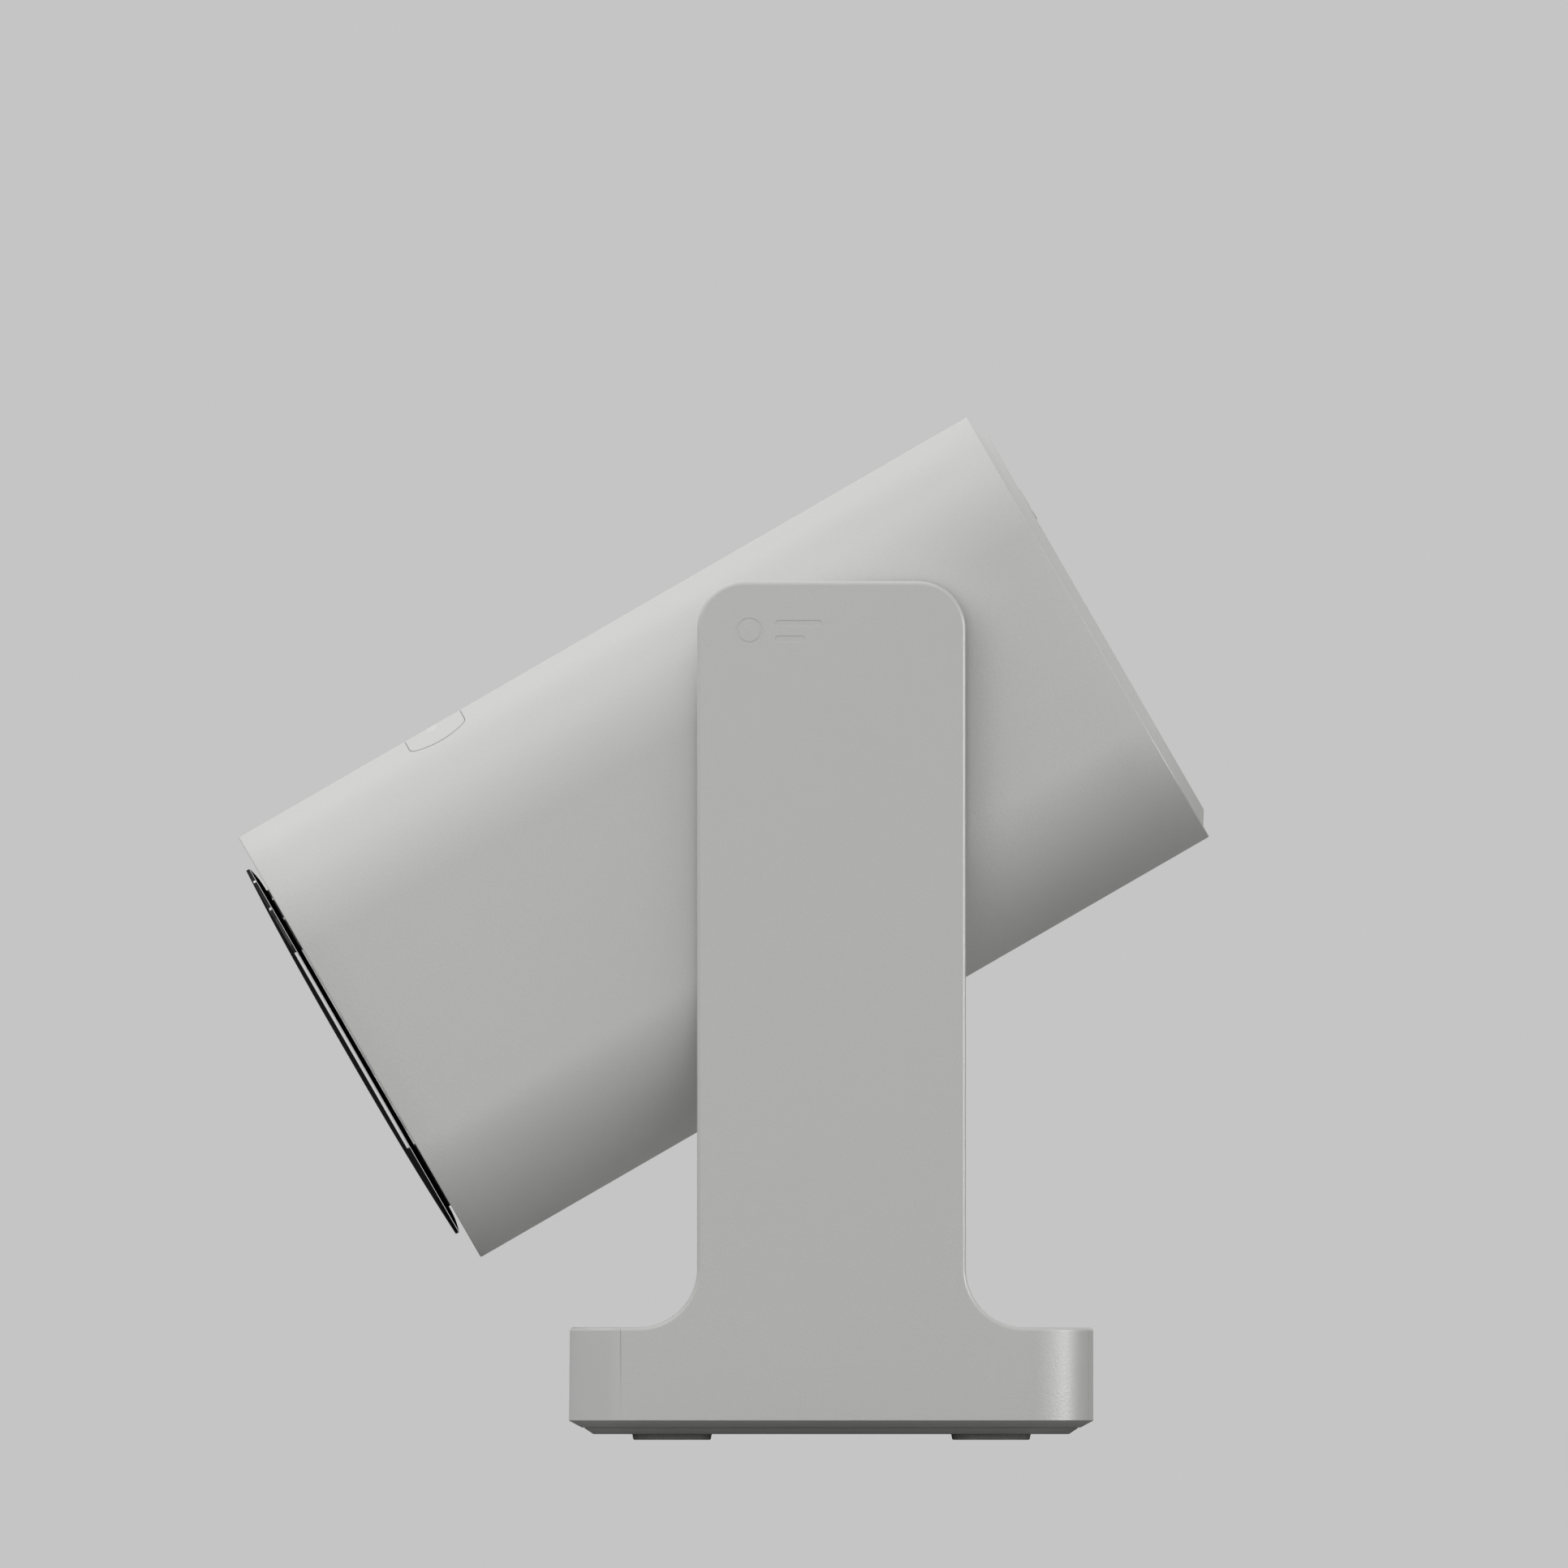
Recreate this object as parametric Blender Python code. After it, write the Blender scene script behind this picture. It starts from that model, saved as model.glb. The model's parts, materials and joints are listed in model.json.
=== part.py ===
"""Shop-counter touchscreen terminal: a rounded tube head that tilts between the arms of a stand.

Dimensions are in millimetres and are scaled to metres when a mesh is made.
+Z is up, the screen faces -Y, and the tilt axis runs along X.
"""

import math

import bmesh
import bpy
from mathutils import Matrix, Vector

MM = 0.001
ARC_STEPS = 10
ROUND_STEPS = 28
GAP = 0.3

# Head, in its own frame: origin on the tilt axis, +Y to the rear cap, +Z square to the tube.
TILT_DEG = 30.0
PIVOT_Y = 35.5
PIVOT_Z = 221.2
TUBE_WIDTH = 242.0
TUBE_HEIGHT = 161.2
TUBE_CORNER = 44.0
TUBE_WALL = 3.0
TUBE_FRONT = -181.3
TUBE_REAR = 98.6
TUBE_EDGE = 0.5

# Display, as distances in from the tube's outline and forward of its front end.
GLASS_INSET = 10.8
GLASS_BACK = 2.15
GLASS_EDGE_FRONT = 3.3
GLASS_CROWN = 1.4
BEZEL_INSET = 11.0
NECK_INSET = 20.0
NECK_WALL = 2.5
LCD_WIDTH = 178.0
LCD_HEIGHT = 111.0

# Rear cap and its button.
CAP_INSET = 4.0
CAP_FACE_INSET = 8.9
CAP_RISE = 3.0
BUTTON_RADIUS = 5.65
BUTTON_X = 70.0
BUTTON_Z = 45.2
BUTTON_PROUD = 0.35

# Control pad on the tube's upper edge.
PAD_FRONT = -117.4
PAD_REAR = -96.4
PAD_LEFT = 46.0
PAD_SHOULDER = 95.1
PAD_BULGE = 3.2
PAD_THICKNESS = 2.6

# Stand.
STAND_WIDTH = 275.0
STAND_FRONT = -51.84
STAND_REAR = 122.6
SEAM_Y = -34.56
FRONT_CORNER = 16.6
REAR_CORNER = 22.5
WALL_BOTTOM = 6.5
BASE_TOP = 37.5
ARM_FRONT = -9.2
ARM_REAR = 80.2
ARM_TOP = 285.7
ARM_CORNER = 15.9
ARM_FILLET = 19.5
ARM_THICKNESS = 14.0
EDGE_ROUND = 1.4
COVER_WALL = 2.5
FASCIA_DRAFT = 0.3

# Base tray, bottom plate, feet and screws.
TRAY_TOP = 6.3
TRAY_BOTTOM = 4.1
TRAY_CHAMFER = 4.2
PLATE_TOP = 3.8
PLATE_BOTTOM = 1.9
PLATE_INSET_TOP = 5.1
PLATE_INSET_BOTTOM = 8.1
FOOT_LENGTH = 26.5
FOOT_WIDTH = 20.0
FOOT_TOP = 1.7
FOOT_CENTRES_Y = (-17.55, 88.55)
FOOT_CENTRE_X = 113.5
SCREW_X = 86.0
SCREW_Y = (-30.0, 101.0)

# Tilt hinge. The shaft, washer and nut are placed outwards from the tube's side.
SHAFT_RADIUS = 6.0
COLLAR_RADIUS = 9.0
BUSH_RADIUS = 7.7
UPRIGHT_INNER = 126.0
UPRIGHT_OUTER = 128.5

HALF_STAND = STAND_WIDTH / 2
TUBE_SIDE = TUBE_WIDTH / 2
ARM_INNER = HALF_STAND - ARM_THICKNESS


def clear_scene():
    for obj in list(bpy.data.objects):
        bpy.data.objects.remove(obj, do_unlink=True)


def material(name, colour, roughness, metallic=0.0, alpha=1.0):
    made = bpy.data.materials.new(name)
    made.use_nodes = True
    shader = made.node_tree.nodes["Principled BSDF"]
    shader.inputs["Base Color"].default_value = (*colour, 1.0)
    shader.inputs["Roughness"].default_value = roughness
    shader.inputs["Metallic"].default_value = metallic
    shader.inputs["Alpha"].default_value = alpha
    return made


def arc(centre, radius, start_deg, end_deg, steps=ARC_STEPS):
    """Points along an arc, both ends included."""
    points = []
    for i in range(steps + 1):
        angle = math.radians(start_deg + (end_deg - start_deg) * i / steps)
        x = centre[0] + radius * math.cos(angle)
        y = centre[1] + radius * math.sin(angle)
        points.append((x, y))
    return points


def rounded_rect(x0, x1, y0, y1, radii, steps=ARC_STEPS):
    """Counter-clockwise outline; radii are for the corners (x1,y1), (x0,y1), (x0,y0), (x1,y0)."""
    a, b, c, d = radii
    points = arc((x1 - a, y1 - a), a, 0, 90, steps)
    points += arc((x0 + b, y1 - b), b, 90, 180, steps)
    points += arc((x0 + c, y0 + c), c, 180, 270, steps)
    points += arc((x1 - d, y0 + d), d, 270, 360, steps)
    return points


def tube_section(inset, steps=ARC_STEPS):
    half_x = TUBE_WIDTH / 2 - inset
    half_z = TUBE_HEIGHT / 2 - inset
    radius = max(TUBE_CORNER - inset, 2.0)
    return rounded_rect(-half_x, half_x, -half_z, half_z, (radius,) * 4, steps)


def base_section(inset):
    x = HALF_STAND - inset
    rear = REAR_CORNER - inset
    front = FRONT_CORNER - inset
    radii = (rear, rear, front, front)
    return rounded_rect(-x, x, STAND_FRONT + inset, STAND_REAR - inset, radii)


def across_y(outline, y):
    return [(a, y, b) for a, b in outline]


def across_z(outline, z):
    return [(a, b, z) for a, b in outline]


def across_x(outline, x):
    return [(x, a, b) for a, b in outline]


def add_faces(bm, rings, looped):
    loops = [[bm.verts.new(Vector(p) * MM) for p in ring] for ring in rings]
    pairs = list(zip(loops, loops[1:]))
    if looped:
        pairs.append((loops[-1], loops[0]))
    for low, high in pairs:
        for i in range(len(low)):
            j = (i + 1) % len(low)
            bm.faces.new((low[i], low[j], high[j], high[i]))
    if not looped:
        bm.faces.new(loops[0])
        bm.faces.new(loops[-1])


def finish(name, bm, look, parent=None, smooth_deg=35.0):
    bmesh.ops.recalc_face_normals(bm, faces=bm.faces)
    mesh = bpy.data.meshes.new(name)
    bm.to_mesh(mesh)
    bm.free()
    mesh.shade_smooth()
    mesh.set_sharp_from_angle(angle=math.radians(smooth_deg))
    obj = bpy.data.objects.new(name, mesh)
    bpy.context.scene.collection.objects.link(obj)
    if look:
        mesh.materials.append(look)
    obj.parent = parent
    return obj


def loft(name, rings, look, parent=None, looped=False):
    """A solid through rings of matching points: capped at both ends, or closed on itself."""
    bm = bmesh.new()
    add_faces(bm, rings, looped)
    return finish(name, bm, look, parent)


def block(name, low, high, look, parent=None, edge=0.0):
    outline = [(high[0], high[1]), (low[0], high[1]), (low[0], low[1]), (high[0], low[1])]
    bm = bmesh.new()
    add_faces(bm, [across_z(outline, low[2]), across_z(outline, high[2])], False)
    if edge:
        bmesh.ops.recalc_face_normals(bm, faces=bm.faces)
        bmesh.ops.bevel(
            bm, geom=list(bm.edges), offset=edge * MM, segments=2, profile=0.5, affect="EDGES"
        )
    return finish(name, bm, look, parent)


def circle(radius, steps=ROUND_STEPS):
    angles = [2 * math.pi * i / steps for i in range(steps)]
    return [(radius * math.cos(a), radius * math.sin(a)) for a in angles]


def turned(name, profile, centre, axis, look, parent=None, bored=False):
    """A round piece: profile holds (distance along the axis, radius) pairs."""
    rings = []
    for along, radius in profile:
        ring = []
        for a, b in circle(radius):
            if axis == "X":
                ring.append((along, centre[0] + a, centre[1] + b))
            elif axis == "Y":
                ring.append((centre[0] + a, along, centre[1] + b))
            else:
                ring.append((centre[0] + a, centre[1] + b, along))
        rings.append(ring)
    return loft(name, rings, look, parent, looped=bored)


def boolean(obj, other, operation):
    modifier = obj.modifiers.new(other.name, "BOOLEAN")
    modifier.operation = operation
    modifier.solver = "EXACT"
    modifier.object = other
    other.hide_render = True
    other.display_type = "WIRE"


def cut(obj, *cutters):
    for cutter in cutters:
        boolean(obj, cutter, "DIFFERENCE")


def keep_inside(obj, cutter):
    boolean(obj, cutter, "INTERSECT")


# ---------------------------------------------------------------- head


def build_tube(looks, head):
    front = TUBE_FRONT
    rear = TUBE_REAR
    e = TUBE_EDGE
    stations = [(e, front), (e * 0.3, front + e * 0.3), (0, front + e)]
    stations += [(0, rear - e), (e * 0.3, rear - e * 0.3), (e, rear)]
    stations += [(TUBE_WALL, rear), (TUBE_WALL, front)]
    rings = [across_y(tube_section(inset), y) for inset, y in stations]
    tube = loft("tube_shell", rings, looks["shell"], head, looped=True)
    hole = SHAFT_RADIUS + 0.5
    axle = turned("tube_axle_cutter", [(-TUBE_SIDE - 5, hole), (TUBE_SIDE + 5, hole)], (0, 0), "X", None, head)
    cut(tube, axle, pad_prism("tube_pad_cutter", GAP, 60.0, head))
    return tube


def pad_outline(grow):
    """Plan outline of the control pad: square at the inner end, gently bowed at the tube's corner."""
    low = PAD_FRONT - grow
    high = PAD_REAR + grow
    left = PAD_LEFT - grow
    half = (high - low) / 2
    middle = (high + low) / 2
    bulge = PAD_BULGE
    radius = (half * half + bulge * bulge) / (2 * bulge)
    centre_x = PAD_SHOULDER + grow + bulge - radius
    swing = math.degrees(math.asin(half / radius))
    points = arc((centre_x, middle), radius, -swing, swing, 8)
    points += arc((left + 4, high - 4), 4, 90, 180, 5)
    points += arc((left + 4, low + 4), 4, 180, 270, 5)
    return points


def pad_prism(name, grow, bottom, parent):
    outline = pad_outline(grow)
    return loft(name, [across_z(outline, bottom), across_z(outline, 90.0)], None, parent)


def window_outline(grow):
    middle = (PAD_FRONT + PAD_REAR) / 2 - 0.6
    half = 1.9 + grow
    right = arc((87.9, middle), half, -90, 90, 8)
    left = arc((81.2, middle), half, 90, 270, 8)
    return right + left


def skin(name, depth, look, head):
    """A short length of the tube's outer skin, to be trimmed to a pad."""
    low = PAD_FRONT - 8
    high = PAD_REAR + 8
    stations = [(0.0, low), (0.0, high), (depth, high), (depth, low)]
    rings = [across_y(tube_section(inset), y) for inset, y in stations]
    return loft(name, rings, look, head, looped=True)


def build_pad(looks, head):
    pad = skin("control_pad", PAD_THICKNESS, looks["shell"], head)
    keep_inside(pad, pad_prism("pad_trim", 0.0, 55.0, head))
    outline = window_outline(0.15)
    rings = [across_z(outline, 50.0), across_z(outline, 95.0)]
    cut(pad, loft("pad_window_cutter", rings, None, head))
    window = skin("pad_light_window", PAD_THICKNESS, looks["window"], head)
    outline = window_outline(0.0)
    rings = [across_z(outline, 52.0), across_z(outline, 93.0)]
    keep_inside(window, loft("window_trim", rings, None, head))
    block("pad_switch_board", (54, -115, 71), (86, -99, 72.6), looks["board"], head)


def build_display(looks, head):
    front = TUBE_FRONT
    profile = [(BEZEL_INSET, -2.0), (12.15, -1.65), (15.4, -0.95), (18.9, -0.7), (NECK_INSET, -0.7)]
    profile += [(NECK_INSET, 8.0), (NECK_INSET + NECK_WALL, 8.0), (NECK_INSET + NECK_WALL, -2.0)]
    rings = [across_y(tube_section(inset), front + y) for inset, y in profile]
    loft("display_bezel", rings, looks["black"], head, looped=True)

    edge = GLASS_EDGE_FRONT
    profile = [(GLASS_INSET + 0.15, -GLASS_BACK), (GLASS_INSET, -GLASS_BACK - 0.1)]
    profile += [(GLASS_INSET, -edge + 0.2), (GLASS_INSET + 0.2, -edge)]
    for inset, part in ((18, 0.34), (28, 0.66), (40, 0.86), (55, 0.97), (70, 1.0)):
        profile.append((inset, -edge - GLASS_CROWN * part))
    rings = [across_y(tube_section(inset), front + y) for inset, y in profile]
    loft("touch_glass", rings, looks["glass"], head)

    panel = plate_outline(LCD_WIDTH, LCD_HEIGHT, 4)
    rings = [across_y(panel, front - 1.7), across_y(panel, front + 0.6)]
    loft("lcd_panel", rings, looks["lcd"], head)

    outer = plate_outline(120, 80, 6)
    inner = plate_outline(104, 64, 3)
    near = front + 1.0
    far = front + 1.6
    rings = [across_y(outer, near), across_y(outer, far), across_y(inner, far), across_y(inner, near)]
    loft("nfc_antenna", rings, looks["copper"], head, looped=True)

    frame = plate_outline(180, 112, 10)
    rings = [across_y(frame, front + 2.2), across_y(frame, front + 4.2)]
    loft("display_frame", rings, looks["aluminium"], head)

    wide = TUBE_WALL + GAP
    tight = NECK_INSET - GAP
    profile = [(wide, 0.5), (wide, 3.0), (tight, 3.0), (tight, 0.5)]
    rings = [across_y(tube_section(inset), front + y) for inset, y in profile]
    loft("front_end_plate", rings, looks["black"], head, looped=True)


def plate_outline(width, height, radius):
    return rounded_rect(-width / 2, width / 2, -height / 2, height / 2, (radius,) * 4, 5)


def build_rear(looks, head):
    rear = TUBE_REAR
    plug = TUBE_WALL + GAP
    profile = [(9.6, 0.5), (plug + 2.5, -0.6), (plug + 2.5, -8.0), (plug, -8.0), (plug, -0.35)]
    profile += [(CAP_INSET, 0.0), (CAP_FACE_INSET, CAP_RISE)]
    rings = [across_y(tube_section(inset), rear + y) for inset, y in profile]
    cap = loft("rear_cap", rings, looks["shell"], head)
    centre = (BUTTON_X, BUTTON_Z)
    hole = BUTTON_RADIUS + GAP
    span = [(rear - 5, hole), (rear + 9, hole)]
    cut(cap, turned("cap_button_cutter", span, centre, "Y", None, head))

    face = rear + CAP_RISE + BUTTON_PROUD
    r = BUTTON_RADIUS
    profile = [(rear - 4.5, 2.5), (rear - 1.3, 2.5), (rear - 1.3, 7.5), (rear + 0.15, 7.5)]
    profile += [(rear + 0.15, r), (face - 0.25, r), (face, r - 0.25)]
    turned("power_button", profile, centre, "Y", looks["shell"], head)
    low = (BUTTON_X - 12, rear - 8.5, BUTTON_Z - 10)
    high = (BUTTON_X + 12, rear - 6.9, BUTTON_Z + 10)
    block("power_switch_board", low, high, looks["board"], head)


def build_heatsink(looks, head):
    """Nine fins on one base, drawn as a comb and drawn out along Y."""
    left = -34.0
    fin = 2.0
    pitch = 8.25
    base_z = -30.4
    outline = [(left + 8 * pitch + fin, base_z), (left, base_z)]
    for i in range(9):
        x = left + i * pitch
        outline += [(x, -8.0), (x + fin, -8.0)]
        if i < 8:
            outline += [(x + fin, -26.4), (x + pitch, -26.4)]
    loft("heatsink", [across_y(outline, -135), across_y(outline, -65)], looks["aluminium"], head)


def build_electronics(looks, head):
    low = (-TUBE_SIDE + 3.7, -170, -40)
    high = (TUBE_SIDE - 3.7, 84, -38.5)
    block("chassis_plate", low, high, looks["aluminium"], head)
    block("main_board", (-85, -150, -33), (85, -40, -31.4), looks["board"], head)
    build_heatsink(looks, head)
    block("power_supply", (-55, -5, -38.1), (55, 80, -4), looks["dark"], head, edge=1.5)
    profile = [(-62, 24), (-60, 24), (-58, 19), (-50, 19), (-50, 14), (-42, 14)]
    turned("speaker", profile, (0, -120), "Z", looks["dark"], head)


# ---------------------------------------------------------------- tilt hinge


def build_hinge(looks, head, side, word):
    """One side of the hinge: the shaft, washer and nut turn with the head, and the bush does not."""
    r = SHAFT_RADIUS

    def along(pairs):
        return [(side * (TUBE_SIDE + x), radius) for x, radius in pairs]

    steps = [(-11.1, 9.0), (-8.4, 9.0), (-8.4, r), (0.4, r), (0.4, COLLAR_RADIUS)]
    steps += [(2.1, COLLAR_RADIUS), (2.1, r), (12.6, r), (13.0, r - 0.4)]
    turned("hinge_shaft_" + word, along(steps), (0, 0), "X", looks["steel"], head)
    ring = [(8.0, 11.0), (9.2, 11.0), (9.2, r + 0.1), (8.0, r + 0.1)]
    turned("friction_washer_" + word, along(ring), (0, 0), "X", looks["steel"], head, bored=True)

    hexagon = [(9.2 * math.cos(a), 9.2 * math.sin(a)) for a in (i * math.pi / 3 for i in range(6))]
    outer = [lerp(hexagon[i], hexagon[(i + 1) % 6], k / 4) for i in range(6) for k in range(4)]
    bore = circle(r + 0.1, 24)
    near = side * (TUBE_SIDE + 9.5)
    far = side * (TUBE_SIDE + 12.4)
    rings = [across_x(outer, near), across_x(outer, far), across_x(bore, far), across_x(bore, near)]
    loft("hinge_nut_" + word, rings, looks["steel"], head, looped=True)

    inner = side * (TUBE_SIDE - 8.0)
    outer_x = side * (TUBE_SIDE - 5.0)
    low = (min(inner, outer_x), -30, -38)
    high = (max(inner, outer_x), 30, 34)
    bracket = block("hinge_bracket_" + word, low, high, looks["steel"], head, edge=0.4)
    hole = along([(-10.0, r + 0.1), (-2.0, r + 0.1)])
    cut(bracket, turned("bracket_cutter_" + word, hole, (0, 0), "X", None, head))

    pivot = (PIVOT_Y, PIVOT_Z)
    ring = [(4.8, BUSH_RADIUS), (7.7, BUSH_RADIUS), (7.7, r + 0.05), (4.8, r + 0.05)]
    turned("hinge_bush_" + word, along(ring), pivot, "X", looks["brass"], bored=True)


def lerp(a, b, t):
    return (a[0] + (b[0] - a[0]) * t, a[1] + (b[1] - a[1]) * t)


# ---------------------------------------------------------------- stand


def cheek_outline(rear):
    """Outline of a side cover in Y and Z: base wall, hollow fillets and the arm."""
    top = BASE_TOP
    f = ARM_FILLET
    c = ARM_CORNER
    points = [(SEAM_Y, WALL_BOTTOM), (rear, WALL_BOTTOM), (rear, top)]
    points += arc((ARM_REAR + f, top + f), f, 270, 180)
    points += arc((ARM_REAR - c, ARM_TOP - c), c, 0, 90)
    points += arc((ARM_FRONT + c, ARM_TOP - c), c, 90, 180)
    points += arc((ARM_FRONT - f, top + f), f, 0, -90)
    points.append((SEAM_Y, top))
    return points


def build_cheek(looks, side, word):
    """A T-shaped side cover whose rear end turns the base's corner, hollowed from inside."""
    outer_x = side * HALF_STAND
    inner_x = side * ARM_INNER
    corner_y = STAND_REAR - REAR_CORNER
    turn = math.degrees(math.acos((REAR_CORNER - ARM_THICKNESS) / REAR_CORNER))
    sweep = arc((HALF_STAND - REAR_CORNER, corner_y), REAR_CORNER, 0, turn, 8)
    plan = [(side * x, y) for x, y in sweep]
    bm = bmesh.new()
    outer = [bm.verts.new(Vector(p) * MM) for p in across_x(cheek_outline(corner_y), outer_x)]
    inner_points = across_x(cheek_outline(sweep[-1][1]), inner_x)
    inner = [bm.verts.new(Vector(p) * MM) for p in inner_points]
    low = [outer[1]] + [bm.verts.new(Vector((x, y, WALL_BOTTOM)) * MM) for x, y in plan[1:-1]]
    low.append(inner[1])
    high = [outer[2]] + [bm.verts.new(Vector((x, y, BASE_TOP)) * MM) for x, y in plan[1:-1]]
    high.append(inner[2])
    bm.faces.new(outer)
    bm.faces.new(inner)
    for i in range(len(low) - 1):
        bm.faces.new((low[i], low[i + 1], high[i + 1], high[i]))
    bm.faces.new([outer[3]] + high + [inner[3]])
    bm.faces.new([outer[0]] + low + [inner[0]])
    count = len(outer)
    for i in range(3, count):
        j = (i + 1) % count
        bm.faces.new((outer[i], outer[j], inner[j], inner[i]))
    bmesh.ops.recalc_face_normals(bm, faces=bm.faces)
    sharp = [e for e in bm.edges if e.calc_face_angle(0) > math.radians(40)]
    rim = [e for e in sharp if outer_rim(e, side)]
    bmesh.ops.bevel(
        bm, geom=rim, offset=EDGE_ROUND * MM, segments=3, profile=0.5, affect="EDGES"
    )
    cheek = finish("side_cover_" + word, bm, looks["stand"])

    w = COVER_WALL
    c = ARM_CORNER - w
    floor = WALL_BOTTOM + w
    pocket = [(SEAM_Y + w, floor), (corner_y - 2, floor), (corner_y - 2, BASE_TOP - w)]
    pocket.append((ARM_REAR - w, BASE_TOP - w))
    pocket += arc((ARM_REAR - w - c, ARM_TOP - w - c), c, 0, 90, 6)
    pocket += arc((ARM_FRONT + w + c, ARM_TOP - w - c), c, 90, 180, 6)
    pocket += [(ARM_FRONT + w, BASE_TOP - w), (SEAM_Y + w, BASE_TOP - w)]
    rings = [across_x(pocket, outer_x - side * w), across_x(pocket, inner_x - side * 6)]
    cut(cheek, loft("cheek_cutter_" + word, rings, None))


def outer_rim(edge, side):
    """True for the edges that run round the outside of a side cover, on its upper side."""
    a, b = (v.co / MM for v in edge.verts)
    upper = min(a.z, b.z) > WALL_BOTTOM + 1
    seam = a.y < SEAM_Y + 0.01 and b.y < SEAM_Y + 0.01
    outside = min(a.x * side, b.x * side) > ARM_INNER - 0.01
    along_x = abs(a.x - b.x) > 0.1 and abs(a.y - b.y) < 0.01
    inner = max(a.x * side, b.x * side) < ARM_INNER + 0.01
    return upper and outside and not seam and not along_x and not inner


def build_arm(looks, side, word):
    """The cover on an arm's inner face and the steel upright behind it."""
    edge = COVER_WALL + GAP
    c = ARM_CORNER - edge
    y0 = ARM_FRONT + edge
    y1 = ARM_REAR - edge
    outline = rounded_rect(y0, y1, BASE_TOP + GAP, ARM_TOP - edge, (c, c, 0.6, 0.6), 6)
    near = side * (ARM_INNER)
    far = side * (ARM_INNER + 2.0)
    cover = loft(
        "arm_inner_cover_" + word, [across_x(outline, near), across_x(outline, far)], looks["stand"]
    )
    hole = [(side * (ARM_INNER - 2), 6.6), (side * (ARM_INNER + 2.3), 6.6)]
    pivot = (PIVOT_Y, PIVOT_Z)
    cut(cover, turned("inner_cover_cutter_" + word, hole, pivot, "X", None))

    outline = rounded_rect(10.0, 61.0, 15.0, 250.0, (12, 12, 2, 2), 6)
    rings = [across_x(outline, side * UPRIGHT_INNER), across_x(outline, side * UPRIGHT_OUTER)]
    upright = loft("arm_upright_" + word, rings, looks["steel"])
    radius = BUSH_RADIUS + 0.1
    hole = [(side * (UPRIGHT_INNER - 1), radius), (side * (UPRIGHT_OUTER + 1), radius)]
    cut(upright, turned("upright_cutter_" + word, hole, pivot, "X", None))


def fascia_section(inset):
    """Plan of the front fascia: a bar with rounded front corners and a straight back."""
    back = SEAM_Y - GAP
    r = FRONT_CORNER - inset
    x = HALF_STAND - FRONT_CORNER
    y = STAND_FRONT + FRONT_CORNER
    points = [(HALF_STAND - inset, back), (-HALF_STAND + inset, back)]
    points += arc((-x, y), r, 180, 270)
    points += arc((x, y), r, 270, 360)
    return points


def build_base(looks):
    rise = BASE_TOP - WALL_BOTTOM
    stations = [(0.0, WALL_BOTTOM), (FASCIA_DRAFT, BASE_TOP - EDGE_ROUND)]
    for angle in (30, 60, 90):
        a = math.radians(angle)
        inset = FASCIA_DRAFT + EDGE_ROUND * (1 - math.cos(a))
        stations.append((inset, BASE_TOP - EDGE_ROUND * (1 - math.sin(a))))
    rings = [across_z(fascia_section(inset), z) for inset, z in stations]
    fascia = loft("front_fascia", rings, looks["fascia"])
    low = (-HALF_STAND + 6, STAND_FRONT + 3, WALL_BOTTOM + COVER_WALL)
    high = (HALF_STAND - 6, SEAM_Y + 3, WALL_BOTTOM + rise - 3)
    cut(fascia, block("fascia_cutter", low, high, None))

    x = ARM_INNER - GAP
    low = (-x, SEAM_Y, BASE_TOP - COVER_WALL)
    high = (x, STAND_REAR - 6.6, BASE_TOP)
    block("base_top_cover", low, high, looks["stand"], edge=0.4)
    build_rear_panel(looks)

    rings = [across_z(base_section(0), TRAY_TOP), across_z(base_section(TRAY_CHAMFER), TRAY_BOTTOM)]
    tray = loft("base_tray", rings, looks["stand"])
    rings = [across_z(base_section(PLATE_INSET_TOP), PLATE_TOP)]
    rings.append(across_z(base_section(PLATE_INSET_BOTTOM), PLATE_BOTTOM))
    plate = loft("bottom_plate", rings, looks["plate"])
    build_screws(looks, tray, plate)
    block("ballast_plate", (-80, -22, 6.6), (80, 93, 14.6), looks["steel"], edge=1.0)
    frame_x = UPRIGHT_INNER - 0.4
    block("base_frame", (-frame_x, -10, 15.0), (frame_x, 85, 17.0), looks["steel"])


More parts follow.
